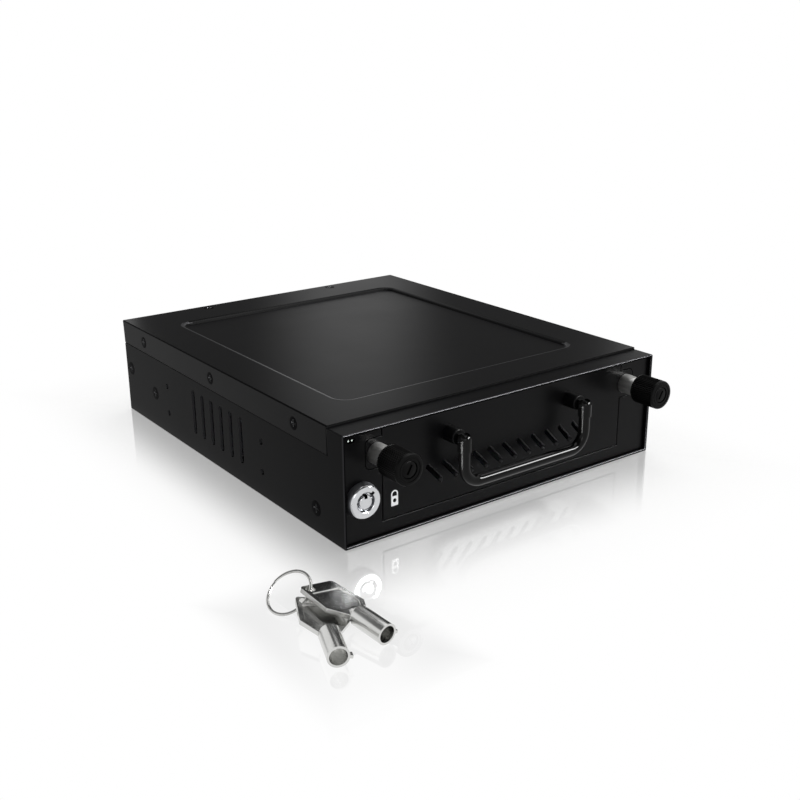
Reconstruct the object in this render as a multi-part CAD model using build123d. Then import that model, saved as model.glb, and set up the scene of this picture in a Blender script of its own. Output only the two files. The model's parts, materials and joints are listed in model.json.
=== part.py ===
from build123d import *
import math
import os

# A drive cage for a half-height 5.25 inch bay, with a cartridge for one 3.5 inch drive.
# Millimetres. The origin is the middle of the case's underside, +X is right, +Y is to the rear, +Z is up.
# Depths are counted to the rear from the front rim, and are turned into Y by deep().

# Drive that the cartridge holds
DRIVE_WIDTH = 101.6
DRIVE_HOLE_RADIUS = 1.8
DRIVE_HOLE_INSET = 3.175
DRIVE_HOLE_PITCH = 44.45
DRIVE_HOLE_SETBACK = 41.28
DRIVE_PLUG_GAP = 4.5

# Case of folded steel sheet
CASE_DEPTH = 176.0
RIM_HEIGHT = 40.6
LID_STEP = 0.8
SHEET = 1.0
COLLAR_DEPTH = 9.5
TONGUE_LENGTH = 6.5
EDGE_ROUND = 0.5
FIT_GAP = 0.1
NEAR = 0.01

# Lid and the pressed recess in its top
FLANGE_DROP = 10.2
RECESS_WIDTH = 112.0
RECESS_FRONT = 26.5
RECESS_REAR = 20.5
RECESS_DEPTH = 1.2
RECESS_CORNER = 6.0
RECESS_SLOPE = 45.0

# Bay screw holes, tapped M3, to the drive-bay standard
BAY_HOLE_RADIUS = 1.25
BAY_HOLE_FRONT = 54.5
BAY_HOLE_PITCH = 79.25
BAY_HOLE_LOW = 10.0
BAY_HOLE_RISE = 11.84
UNDER_HOLE_INSET = 3.15

# Vent slots in the case's sides
SIDE_VENT_COUNT = 6
SIDE_VENT_PITCH = 7.8
SIDE_VENT_MIDDLE = 89.5
SIDE_VENT_LOW = 8.2
SIDE_VENT_TOP_ROOM = 4.4
SIDE_VENT_WIDTH = 2.8

# Countersunk case screws
SCREW_RADIUS = 1.2
SCREW_GAP = 0.06
HEAD_DEPTH = 0.85
LID_HEAD_RADIUS = 2.4
CASE_HEAD_RADIUS = 2.9
SCREW_LENGTH = 4.0
LID_SCREW_FRONT = 30.5
LID_SCREW_REAR = 21.5
LID_SCREW_COUNT = 3
LID_SCREW_DROP = 5.3
LID_REAR_SCREW_SPAN = 66.0
LID_REAR_SCREW_INSET = 3.9
PLATE_SCREW_DEPTH = 17.6
PLATE_SCREW_HEIGHT = 9.1
RAIL_SCREW_SETBACK = 16.5
RAIL_SCREW_HEIGHT = 15.3
PANEL_SCREW_INSET = 5.2
PANEL_SCREW_HEIGHT = 20.4

# Front plate and the cartridge front that closes its opening
FACE_RECESS = 1.5
PLATE_THICK = 2.0
PLATE_FLANGE_LENGTH = 18.0
PLATE_FLANGE_HEIGHT = 13.0
PANEL_OVERLAP = 3.5
PANEL_LOW = 6.0
PANEL_THICK = 1.8
PANEL_GAP = 0.3
EAR_END = 4.2
EAR_HEIGHT = 10.6
EAR_CORNER = 2.0
GRIP_DROP = 9.4
FRONT_VENT_COUNT = 11
FRONT_VENT_PITCH = 6.93
FRONT_VENT_HEIGHT = 17.6
FRONT_VENT_LENGTH = 10.2
FRONT_VENT_WIDTH = 2.0
FRONT_VENT_SLANT = 47.0

# Tray of the cartridge, round the drive
TRAY_SIDE_ROOM = 1.2
TRAY_FLOOR = 6.7
TRAY_LIP_ROOM = 1.0
TRAY_REAR_ROOM = 6.0
TRAY_SOCKET_ROOM = 4.5
TRAY_TAB_WIDTH = 9.0
TRAY_TAB_RISE = 6.0
TRAY_SCREW_RISE = 12.0
TRAY_SCREW_INSET = 5.0
PAN_HEAD_RADIUS = 2.5
PAN_HEAD_HEIGHT = 1.5
PAN_CROWN_RADIUS = 1.75
PAN_EDGE_HEIGHT = 0.75
TRAY_WINDOW_COUNT = 3
TRAY_WINDOW_PITCH = 38.0
TRAY_WINDOW_INSET = 17.0
TRAY_WINDOW_LENGTH = 22.0
TRAY_WINDOW_CORNER = 4.0

# Guide rails and slide strips
RAIL_GAP = 0.6
RAIL_TOP_ROOM = 5.6
RAIL_FOOT_WIDTH = 8.4
RAIL_LIP_WIDTH = 5.0
RAIL_TAB_SIZE = 10.0
RAIL_EAR_WIDTH = 12.0
RAIL_NUT_EAR_END = 3.0
RAIL_NUT_EAR_HEIGHT = 11.0
STRIP_WIDTH = 3.6
STRIP_CLEARANCE = 0.2
STRIP_FRONT = 6.0
STRIP_GROOVE_WIDTH = 1.6
STRIP_ROOF = 1.5

# Backplane board, sockets and rear panel
BOARD_FAN_GAP = 0.4
BOARD_THICK = 1.6
BOARD_EAR_ROOM = 0.6
BOARD_LOW = 2.0
BOARD_TOP_ROOM = 4.6
BOARD_SCREW_OFFSET = 5.4
BOARD_SCREW_RISE = 18.0
SOCKET_WIDTH = 44.0
SOCKET_HEIGHT = 6.0
SOCKET_LENGTH = 8.5
SOCKET_X = -16.0
SOCKET_LOW = 10.0
SOCKET_WALL = 1.2
SOCKET_SHORT_WIDTH = 11.0
DATA_X = -44.0
DATA_WIDTH = 16.5
DATA_HEIGHT = 8.6
POWER_X = -12.0
POWER_WIDTH = 23.5
POWER_HEIGHT = 11.0
REAR_SOCKET_Z = 19.0
PIN_RADIUS = 1.05
PIN_PITCH = 5.08
PIN_COUNT = 4
REAR_FLANGE_LENGTH = 9.0
REAR_TOP_FLANGE_WIDTH = 120.0

# Square fan, as tall as the case allows
FAN_TOP_ROOM = 4.5
FAN_SIDE_ROOM = 2.0
FAN_THICK = 10.0
FAN_HOLE_INSET = 3.0
FAN_HOLE_RADIUS = 1.5
FAN_WALL = 1.0
FAN_CORNER = 2.5
FAN_TIP_GAP = 0.6
FAN_HUB_RADIUS = 7.8
FAN_BLADE_COUNT = 7
FAN_BLADE_THICK = 0.9
FAN_ROOT_PITCH = 52.0
FAN_TIP_PITCH = 34.0
FAN_STRUT_COUNT = 3
FAN_STRUT_WIDTH = 2.2
FAN_AIR_HOLE_EDGE = 2.5
FAN_BASE_THICK = 1.8
FAN_SHAFT_RADIUS = 1.0
RUN_GAP = 0.06
GRILLE_SLOT = 2.6
GRILLE_BAR = 1.4
GRILLE_BAR_TURN = 45.0

# Tubular lock
LOCK_PANEL_ROOM = 2.3
LOCK_WALL_ROOM = 0.3
LOCK_Z = 16.1
LOCK_BASE_RADIUS = 6.3
LOCK_FACE_RADIUS = 5.95
LOCK_PROUD = 3.1
LOCK_BARREL_RADIUS = 5.0
LOCK_BARREL_LENGTH = 14.0
LOCK_KEYWAY_RADIUS = 3.45
LOCK_KEYWAY_DEPTH = 6.0
LOCK_POST_RADIUS = 2.5
LOCK_SPINDLE_RADIUS = 2.5
LOCK_FLANGE_THICK = 1.4
LOCK_NOTCH_WIDTH = 1.2
LOCK_NUB_TURN = 45.0
LOCK_TANG = 3.4
LOCK_GROOVE_RADIUS = 4.4
CLIP_THICK = 1.0
CLIP_HEIGHT = 14.0
CLIP_LEG = 0.9
CAM_REACH = 13.6
CAM_THICK = 1.5
CAM_HUB_RADIUS = 4.4
CAM_TIP_RADIUS = 2.8
CAM_CLEARANCE = 1.0

# Status lamps
LAMP_INSET = 3.2
LAMP_DROP = 3.1
LAMP_PITCH = 1.4
LAMP_RADIUS = 0.45
LAMP_SLOT_HEIGHT = 1.5
LAMP_SLOT_WIDTH = 3.2
LAMP_SET_BACK = 0.5
LAMP_HOLDER_WIDTH = 4.6
LAMP_HOLDER_HEIGHT = 3.4
LAMP_HOLDER_LENGTH = 5.0

# Drop handle
HANDLE_SPAN = 57.2
HANDLE_PROUD = 7.3
POST_RADIUS = 2.9
TONGUE_THICK = 1.8
TONGUE_HALF = 1.45
KNUCKLE_RADIUS = 2.5
KNUCKLE_DROP = 4.4
KNUCKLE_SLACK = 0.4
SLOT_SLACK = 0.3
PIVOT_RADIUS = 0.75
BAIL_RADIUS = 2.1
BAIL_DROP = 16.4
BAIL_BEND = 7.0
SPIGOT_RADIUS = 1.4
SPIGOT_LENGTH = 2.4

# Captive thumbscrews
KNOB_RADIUS = 5.5
KNOB_LENGTH = 10.7
KNOB_PROUD = 17.0
KNOB_EDGE = 0.5
KNOB_FLUTE_COUNT = 30
KNOB_FLUTE_RADIUS = 0.32
KNOB_SKIRT_DEPTH = 6.7
SLEEVE_RADIUS = 3.75
SLEEVE_LENGTH = 8.5
SLEEVE_WALL = 0.6
SLEEVE_FLOOR = 1.5
SLEEVE_SPIGOT_RADIUS = 3.0
SKIRT_GAP = 0.3
THUMB_SCREW_RADIUS = 1.95
THUMB_HEAD_RADIUS = 3.0
THUMB_HEAD_THICK = 1.0
THUMB_HEAD_RECESS = 0.2
THUMB_SLOT_WIDTH = 0.9
THUMB_SLOT_LENGTH = 3.4
THUMB_SLOT_DEPTH = 0.5
THUMB_SLOT_TURN = 60.0
THUMB_TIP_INSET = 0.1
THUMB_TIP_CHAMFER = 0.5
SPRING_WIRE = 0.25
SPRING_FLATS = 6
SPRING_TURNS = 6
NUT_RADIUS = 3.6
NUT_ROOM = 0.8
NUT_LENGTH = 5.0
NUT_SPIGOT_RADIUS = 2.8

# Keys on their ring, lying in front of the case
KEY_TUBE_RADIUS = 3.3
KEY_BORE_RADIUS = 2.6
KEY_TUBE_LENGTH = 12.0
KEY_BORE_DEPTH = 8.0
KEY_ROOT_LENGTH = 3.0
KEY_ROOT_RADIUS = 1.6
KEY_BOW_LENGTH = 20.0
KEY_BOW_WIDTH = 14.8
KEY_BOW_END_WIDTH = 12.6
KEY_BOW_TAPER = 6.3
KEY_BOW_THICK = 1.4
KEY_BOW_CORNER = 1.4
KEY_BORDER = 1.6
KEY_PANEL_DEPTH = 0.3
KEY_HOLE_RADIUS = 1.6
KEY_HOLE_INSET = 2.3
KEY_NUB = 0.9
KEY_NUB_LENGTH = 2.0
RING_RADIUS = 7.3
RING_WIRE = 0.36
RING_SIDE = 32.9
RING_AHEAD = 19.4
RING_TILT = 36.0
RING_TURN = 190.0
LOWER_KEY_ANGLE = -5.0
LOWER_KEY_TURN = (0.0, 10.5, -21.0)
UPPER_KEY_ANGLE = 26.0
UPPER_KEY_TURN = (4.4, 12.0, 6.5)

# Widths worked out from the drive outward: tray, rails, cartridge front, lock and case
TRAY_HALF = DRIVE_WIDTH / 2 + TRAY_SIDE_ROOM + SHEET
DRIVE_HOLE_SPAN = DRIVE_WIDTH - 2 * DRIVE_HOLE_INSET
TRAY_WINDOW_WIDTH = 2 * (TRAY_HALF - TRAY_WINDOW_INSET)
RAIL_INNER = TRAY_HALF + RAIL_GAP
RAIL_OUTER = RAIL_INNER + SHEET
KNOB_X = RAIL_OUTER + NUT_RADIUS + NUT_ROOM
PANEL_HALF = TRAY_HALF + PANEL_OVERLAP
LOCK_X = -(PANEL_HALF + PANEL_GAP + LOCK_PANEL_ROOM + LOCK_BASE_RADIUS)
INNER = LOCK_BASE_RADIUS + LOCK_WALL_ROOM - LOCK_X
HALF = INNER + SHEET
BOARD_HALF = RAIL_INNER + RAIL_EAR_WIDTH - BOARD_EAR_ROOM
BOARD_SCREW_X = RAIL_OUTER + BOARD_SCREW_OFFSET
HANDLE_X = HANDLE_SPAN / 2
LAMP_X = LAMP_INSET - INNER

# Heights worked out from the rim
LID_TOP = RIM_HEIGHT + LID_STEP
LID_UNDER = LID_TOP - SHEET
JOGGLE_X = INNER - FIT_GAP
JOGGLE_Z = LID_TOP - FLANGE_DROP - FIT_GAP
JOGGLE_TOP = LID_UNDER - FIT_GAP
SIDE_VENT_HEIGHT = JOGGLE_Z - SIDE_VENT_TOP_ROOM - SIDE_VENT_LOW
PANEL_TOP = RIM_HEIGHT - SHEET - PANEL_GAP
GRIP_HEIGHT = RIM_HEIGHT - GRIP_DROP
KNUCKLE_LOW = GRIP_HEIGHT - KNUCKLE_DROP
LAMP_Z = RIM_HEIGHT - LAMP_DROP
RAIL_TOP = RIM_HEIGHT - RAIL_TOP_ROOM
TRAY_TOP = RAIL_TOP - SHEET - TRAY_LIP_ROOM
BOARD_TOP = RIM_HEIGHT - BOARD_TOP_ROOM
BOARD_MIDDLE_Z = (BOARD_LOW + BOARD_TOP) / 2
FAN_SIZE = RIM_HEIGHT - SHEET - FIT_GAP - FAN_TOP_ROOM
FAN_Z = SHEET + FIT_GAP + FAN_SIZE / 2
FAN_X = BOARD_SCREW_X - PAN_HEAD_RADIUS - FAN_SIDE_ROOM - FAN_SIZE / 2
FAN_HOLE_PITCH = FAN_SIZE - 2 * FAN_HOLE_INSET
FAN_BORE_RADIUS = FAN_SIZE / 2 - FAN_WALL
FAN_AIR_HOLE_RADIUS = FAN_BORE_RADIUS - FAN_AIR_HOLE_EDGE

# Depths worked out from the front rim and the back edge
FRONT = -CASE_DEPTH / 2
BACK = CASE_DEPTH / 2
RECESS_LENGTH = CASE_DEPTH - RECESS_FRONT - RECESS_REAR
LID_SCREW_PITCH = (CASE_DEPTH - LID_SCREW_FRONT - LID_SCREW_REAR) / (LID_SCREW_COUNT - 1)


def deep(depth):
    """Y of a place that lies this far behind the front rim."""
    return FRONT + depth


PLATE_FRONT = deep(FACE_RECESS)
PLATE_BACK = PLATE_FRONT + PLATE_THICK
PANEL_BACK = PLATE_FRONT + PANEL_THICK
REAR_INNER = BACK - SHEET
FAN_FRONT = REAR_INNER - FAN_THICK
BOARD_BACK = FAN_FRONT - BOARD_FAN_GAP
BOARD_FRONT = BOARD_BACK - BOARD_THICK
DRIVE_BACK = BOARD_FRONT - DRIVE_PLUG_GAP
TRAY_WALL_END = BOARD_FRONT - TRAY_REAR_ROOM
TRAY_FLOOR_END = BOARD_FRONT - SOCKET_LENGTH - TRAY_SOCKET_ROOM
RAIL_SCREW_Y = BOARD_FRONT - RAIL_SCREW_SETBACK
LOCK_FACE = PLATE_FRONT - LOCK_PROUD
LOCK_END = PLATE_FRONT + LOCK_BARREL_LENGTH
CAM_FRONT = LOCK_END + FIT_GAP
CAM_BACK = CAM_FRONT + CAM_THICK
PIVOT_Y = deep(-HANDLE_PROUD)
POST_END = PIVOT_Y + KNUCKLE_RADIUS + KNUCKLE_SLACK
KNOB_FACE = deep(-KNOB_PROUD)
KNOB_END = KNOB_FACE + KNOB_LENGTH
SKIRT_FLOOR = KNOB_END - KNOB_SKIRT_DEPTH
SLEEVE_FRONT = PLATE_FRONT - SLEEVE_LENGTH
SLEEVE_POCKET = PLATE_FRONT - SLEEVE_FLOOR
THUMB_TIP = PANEL_BACK - THUMB_TIP_INSET
NUT_BACK = PLATE_BACK + NUT_LENGTH


# Shapes that several pieces share

def block(x0, x1, y0, y1, z0, z1):
    """A box between two corners."""
    return Pos((x0 + x1) / 2, (y0 + y1) / 2, (z0 + z1) / 2) * Box(x1 - x0, y1 - y0, z1 - z0)


def bar_x(radius, x0, x1, y, z):
    """A round bar along X."""
    return Pos((x0 + x1) / 2, y, z) * Rot(0, 90, 0) * Cylinder(radius, x1 - x0)


def bar_y(radius, y0, y1, x, z):
    """A round bar along Y."""
    return Pos(x, (y0 + y1) / 2, z) * Rot(90, 0, 0) * Cylinder(radius, y1 - y0)


def bar_z(radius, z0, z1, x, y):
    """A round bar along Z."""
    return Pos(x, y, (z0 + z1) / 2) * Cylinder(radius, z1 - z0)


def turned_y(outline, x, z):
    """A turned piece along Y from an outline of (radius, y) points."""
    return Pos(x, 0, z) * revolve(make_face(Polyline(*outline, close=True)), Axis.Y)


def upright_face(sketch, y0, y1):
    """A sketch in X and Z, pushed from y0 to y1."""
    return extrude(Plane.XZ.offset(-y0) * sketch, -(y1 - y0))


def profile_along_y(outline, y0, y1):
    """A closed outline of (x, z) points, pushed from y0 to y1."""
    return upright_face(make_face(Polyline(*outline, close=True)), y0, y1)


def both_sides(solid):
    """A solid and its mirror image about the middle plane."""
    return [solid, mirror(solid, Plane.YZ)]


def screw_shape(head_radius, length, slack=0.0):
    """A countersunk screw with its head flush at the origin, pointing down -Z."""
    outline = [(0, 0), (head_radius + slack, 0), (SCREW_RADIUS + slack, -HEAD_DEPTH),
               (SCREW_RADIUS + slack, -length), (0, -length)]
    return revolve(make_face(Plane.XZ * Polyline(*outline, close=True)), Axis.Z)


def pan_screw(length):
    """A pan-head screw with its head above the origin, pointing down -Z."""
    outline = [(0, PAN_HEAD_HEIGHT), (PAN_CROWN_RADIUS, PAN_HEAD_HEIGHT),
               (PAN_HEAD_RADIUS, PAN_EDGE_HEIGHT), (PAN_HEAD_RADIUS, 0),
               (SCREW_RADIUS, 0), (SCREW_RADIUS, -length), (0, -length)]
    return revolve(make_face(Plane.XZ * Polyline(*outline, close=True)), Axis.Z)


def facing(solid, place, outward):
    """Put a screw at a place, with its head looking outward."""
    return Plane(origin=place, z_dir=outward).location * solid


def group(solids):
    """Separate like pieces that share one node."""
    return Compound(children=list(solids))


# Places of the case's screws, on the right side
LID_SCREW_Z = LID_TOP - LID_SCREW_DROP
LID_SCREW_YS = [deep(LID_SCREW_FRONT + i * LID_SCREW_PITCH) for i in range(LID_SCREW_COUNT)]
LID_SIDE_PLACES = [(HALF, y, LID_SCREW_Z) for y in LID_SCREW_YS]
LID_REAR_PLACES = [(x * LID_REAR_SCREW_SPAN / 2, BACK - LID_REAR_SCREW_INSET, LID_TOP) for x in (-1, 1)]
PLATE_PLACE = (HALF, deep(PLATE_SCREW_DEPTH), PLATE_SCREW_HEIGHT)
RAIL_PLACE = (HALF, RAIL_SCREW_Y, RAIL_SCREW_HEIGHT)
PANEL_PLACE = (HALF, BACK - PANEL_SCREW_INSET, PANEL_SCREW_HEIGHT)
CASE_PLACES = [PLATE_PLACE, RAIL_PLACE, PANEL_PLACE]
RIGHT = (1, 0, 0)
UP = (0, 0, 1)
REARWARD = (0, 1, 0)


def side_cutters(places, head_radius):
    """Countersunk holes for screws in both sides."""
    cutter = screw_shape(head_radius, SCREW_LENGTH + FIT_GAP, SCREW_GAP)
    return [s for p in places for s in both_sides(facing(cutter, p, RIGHT))]


def side_screws(places, head_radius):
    """Countersunk screws in both sides."""
    screw = screw_shape(head_radius, SCREW_LENGTH)
    return group(s for p in places for s in both_sides(facing(screw, p, RIGHT)))


# Case

def make_case():
    outline = [(0, 0), (HALF, 0), (HALF, JOGGLE_Z), (JOGGLE_X, JOGGLE_Z), (JOGGLE_X, JOGGLE_TOP),
               (JOGGLE_X - SHEET, JOGGLE_TOP), (JOGGLE_X - SHEET, JOGGLE_Z - SHEET),
               (INNER, JOGGLE_Z - SHEET), (INNER, SHEET), (0, SHEET)]
    collar_end = deep(COLLAR_DEPTH)
    side = profile_along_y(outline, collar_end, BACK)
    shell = side + mirror(side, Plane.YZ)
    collar = block(-HALF, HALF, FRONT, collar_end, 0, RIM_HEIGHT)
    collar -= block(-INNER, INNER, FRONT, collar_end, SHEET, RIM_HEIGHT - SHEET)
    tongue_half = JOGGLE_X - SHEET
    tongue = block(-tongue_half, tongue_half, collar_end - SHEET, collar_end + TONGUE_LENGTH,
                   JOGGLE_TOP - SHEET, JOGGLE_TOP)
    shell = shell + collar + tongue
    corners = shell.edges().filter_by(Axis.Y).filter_by(lambda e: abs(e.center().X) > HALF - NEAR)
    corners = corners.filter_by(lambda e: e.center().Z < NEAR or e.center().Z > RIM_HEIGHT - NEAR)
    shell = fillet(corners, EDGE_ROUND)
    cutters = side_cutters(CASE_PLACES, CASE_HEAD_RADIUS) + side_cutters(LID_SIDE_PLACES, LID_HEAD_RADIUS)
    cutters += [bay_hole_x(d, z) for d in bay_depths() for z in (BAY_HOLE_LOW, BAY_HOLE_LOW + BAY_HOLE_RISE)]
    under_x = HALF - UNDER_HOLE_INSET
    cutters += [bar_z(BAY_HOLE_RADIUS, -SHEET, 2 * SHEET, i * under_x, deep(d))
                for d in bay_depths() for i in (-1, 1)]
    vent = Plane.YZ * Rot(0, 0, 90) * SlotOverall(SIDE_VENT_HEIGHT, SIDE_VENT_WIDTH)
    first = SIDE_VENT_MIDDLE - (SIDE_VENT_COUNT - 1) * SIDE_VENT_PITCH / 2
    for i in range(SIDE_VENT_COUNT):
        place = Pos(-HALF, deep(first + i * SIDE_VENT_PITCH), SIDE_VENT_LOW + SIDE_VENT_HEIGHT / 2)
        cutters.append(place * extrude(vent, 2 * HALF))
    return shell - cutters


def bay_depths():
    """Depths of the two rows of bay screw holes."""
    return [BAY_HOLE_FRONT, BAY_HOLE_FRONT + BAY_HOLE_PITCH]


def bay_hole_x(depth, z):
    """A bay screw hole through both side walls."""
    return bar_x(BAY_HOLE_RADIUS, -HALF - SHEET, HALF + SHEET, deep(depth), z)


def recess_slab(top, drop, grow):
    """The lid's pressed recess as a slab whose sides slope inward as it goes down."""
    y = deep(RECESS_FRONT + RECESS_LENGTH / 2)
    outline = RectangleRounded(RECESS_WIDTH + 2 * grow, RECESS_LENGTH + 2 * grow, RECESS_CORNER + grow)
    return extrude(Pos(0, y, top) * outline, -drop, taper=RECESS_SLOPE)


def make_lid():
    front = deep(COLLAR_DEPTH) + FIT_GAP
    outline = [(0, LID_TOP), (HALF, LID_TOP), (HALF, LID_TOP - FLANGE_DROP), (INNER, LID_TOP - FLANGE_DROP),
               (INNER, LID_UNDER), (0, LID_UNDER)]
    side = profile_along_y(outline, front, BACK)
    lid = side + mirror(side, Plane.YZ)
    edges = lid.edges().filter_by(Axis.Y).filter_by(lambda e: e.center().Z > LID_TOP - NEAR)
    lid = fillet(edges.filter_by(lambda e: abs(e.center().X) > INNER), EDGE_ROUND)
    lid += recess_slab(LID_UNDER, RECESS_DEPTH, SHEET)
    lid -= recess_slab(LID_TOP, RECESS_DEPTH, 0)
    rear_cutter = screw_shape(LID_HEAD_RADIUS, SCREW_LENGTH + FIT_GAP, SCREW_GAP)
    lid -= [facing(rear_cutter, p, UP) for p in LID_REAR_PLACES]
    return lid - side_cutters(LID_SIDE_PLACES, LID_HEAD_RADIUS)


# Front plate, with the opening that the cartridge front fills

def ear_outline(slack):
    """The band of the cartridge front that carries both ears, with its ends rounded."""
    span = 2 * (KNOB_X + EAR_END + slack)
    return Pos(0, GRIP_HEIGHT) * RectangleRounded(span, EAR_HEIGHT + 2 * slack, EAR_CORNER + slack)


def make_front_plate():
    edge = INNER - FIT_GAP
    low = SHEET + FIT_GAP
    top = RIM_HEIGHT - SHEET - FIT_GAP
    opening_half = PANEL_HALF + PANEL_GAP
    opening_low = PANEL_LOW - PANEL_GAP
    plate = block(-edge, edge, PLATE_FRONT, PLATE_BACK, low, top)
    plate -= block(-opening_half, opening_half, FRONT, PLATE_BACK + PLATE_THICK, opening_low, RIM_HEIGHT)
    plate -= upright_face(ear_outline(PANEL_GAP), FRONT, PLATE_BACK + PLATE_THICK)
    plate -= bar_y(LOCK_BARREL_RADIUS + FIT_GAP, FRONT, PLATE_BACK + PLATE_THICK, LOCK_X, LOCK_Z)
    lamp_slot = Pos(LAMP_X, LAMP_Z) * SlotOverall(LAMP_SLOT_WIDTH, LAMP_SLOT_HEIGHT)
    plate -= upright_face(lamp_slot, FRONT, PLATE_BACK + PLATE_THICK)
    flange = block(edge - SHEET, edge, PLATE_BACK, PLATE_BACK + PLATE_FLANGE_LENGTH,
                   2 * SHEET, 2 * SHEET + PLATE_FLANGE_HEIGHT)
    plate += both_sides(flange)
    return plate - side_cutters([PLATE_PLACE], CASE_HEAD_RADIUS)


# Rear panel with the fan's grille

def grille_slots():
    """Ring-shaped slots in front of the fan, crossed by four bars."""
    rings = Sketch()
    pitch = GRILLE_SLOT + GRILLE_BAR
    for i in range(1 + math.floor((FAN_BORE_RADIUS - FAN_HUB_RADIUS) / pitch)):
        outer = FAN_HUB_RADIUS + i * pitch
        rings += Circle(outer) - Circle(outer - GRILLE_SLOT)
    for turn in (GRILLE_BAR_TURN, -GRILLE_BAR_TURN):
        rings -= Rot(0, 0, turn) * Rectangle(FAN_SIZE, FAN_STRUT_WIDTH)
    return upright_face(Pos(FAN_X, FAN_Z) * rings, REAR_INNER - SHEET, BACK + SHEET)


def fan_hole_places(y):
    """The fan's four screw places on a plane across Y."""
    step = FAN_HOLE_PITCH / 2
    return [(FAN_X + i * step, y, FAN_Z + j * step) for i in (-1, 1) for j in (-1, 1)]


def rear_socket(x, width, height, slack):
    """Outside of a socket that stands on the backplane and looks out through the rear panel."""
    return block(x - width / 2 - slack, x + width / 2 + slack, BOARD_BACK, BACK,
                 REAR_SOCKET_Z - height / 2 - slack, REAR_SOCKET_Z + height / 2 + slack)


def make_rear_panel():
    step_z = JOGGLE_Z - SHEET - FIT_GAP
    upper = JOGGLE_X - SHEET - FIT_GAP
    lower = INNER - FIT_GAP
    low = SHEET + FIT_GAP
    outline = [(0, low), (lower, low), (lower, step_z), (upper, step_z), (upper, JOGGLE_TOP), (0, JOGGLE_TOP)]
    side = profile_along_y(outline, REAR_INNER, BACK)
    panel = side + mirror(side, Plane.YZ)
    flange_front = BACK - REAR_FLANGE_LENGTH
    panel += both_sides(block(lower - SHEET, lower, flange_front, REAR_INNER, 2 * SHEET, step_z - SHEET))
    panel += block(-REAR_TOP_FLANGE_WIDTH / 2, REAR_TOP_FLANGE_WIDTH / 2, flange_front, REAR_INNER,
                   JOGGLE_TOP - SHEET, JOGGLE_TOP)
    lid_cutter = screw_shape(LID_HEAD_RADIUS, SCREW_LENGTH + FIT_GAP, SCREW_GAP)
    fan_cutter = screw_shape(LID_HEAD_RADIUS, SCREW_LENGTH, SCREW_GAP)
    panel -= [facing(lid_cutter, p, UP) for p in LID_REAR_PLACES]
    panel -= [facing(fan_cutter, p, REARWARD) for p in fan_hole_places(BACK)]
    panel -= side_cutters([PANEL_PLACE], CASE_HEAD_RADIUS)
    panel -= grille_slots()
    panel -= rear_socket(DATA_X, DATA_WIDTH, DATA_HEIGHT, PANEL_GAP)
    return panel - rear_socket(POWER_X, POWER_WIDTH, POWER_HEIGHT, PANEL_GAP)


# Guide rails, folded from sheet, and the plastic strips that the tray slides on

def make_rail():
    """The right-hand rail: foot, wall and top lip, with ears for the nut, the board and the case."""
    top = RAIL_TOP
    rear = BOARD_FRONT
    foot = RAIL_INNER + RAIL_FOOT_WIDTH
    lip = RAIL_OUTER - RAIL_LIP_WIDTH
    outline = [(RAIL_INNER, SHEET), (foot, SHEET), (foot, 2 * SHEET), (RAIL_OUTER, 2 * SHEET),
               (RAIL_OUTER, top), (lip, top), (lip, top - SHEET), (RAIL_INNER, top - SHEET)]
    rail = profile_along_y(outline, PLATE_BACK, rear)
    nut_low = GRIP_HEIGHT - RAIL_NUT_EAR_HEIGHT / 2
    rail += block(RAIL_INNER, KNOB_X + NUT_RADIUS + RAIL_NUT_EAR_END, PLATE_BACK, PLATE_BACK + SHEET,
                  nut_low, nut_low + RAIL_NUT_EAR_HEIGHT)
    rail += block(RAIL_INNER, RAIL_INNER + RAIL_EAR_WIDTH, rear - SHEET, rear,
                  BOARD_LOW, BOARD_TOP - SHEET)
    tab_front = RAIL_SCREW_Y - RAIL_TAB_SIZE / 2
    tab_low = RAIL_SCREW_HEIGHT - RAIL_TAB_SIZE / 2
    rail += block(RAIL_INNER, INNER, tab_front, tab_front + SHEET, tab_low, tab_low + RAIL_TAB_SIZE)
    rail += block(INNER - SHEET, INNER, tab_front, tab_front + RAIL_TAB_SIZE,
                  tab_low, tab_low + RAIL_TAB_SIZE)
    rail -= bar_y(NUT_SPIGOT_RADIUS + FIT_GAP, FRONT, PLATE_BACK + 2 * SHEET, KNOB_X, GRIP_HEIGHT)
    rail -= cam_window(CAM_CLEARANCE, RAIL_INNER - SHEET, RAIL_OUTER + SHEET)
    rail -= [facing(screw_shape(SCREW_RADIUS, SCREW_LENGTH, SCREW_GAP), (x, BOARD_BACK, z), REARWARD)
             for x, z in board_screw_places()]
    return rail - side_cutters([RAIL_PLACE], CASE_HEAD_RADIUS)


def cam_window(slack, x0, x1):
    """The slot that the lock's cam swings through, as a box on the right that is mirrored with its wall."""
    top = LOCK_Z + CAM_REACH + slack
    return block(x0, x1, CAM_FRONT - slack, CAM_BACK + slack, LOCK_Z - CAM_TIP_RADIUS - slack, top)


def board_screw_places():
    """X and Z of the backplane's four screws."""
    rise = BOARD_SCREW_RISE / 2
    return [(i * BOARD_SCREW_X, BOARD_MIDDLE_Z + j * rise) for i in (-1, 1) for j in (-1, 1)]


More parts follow.
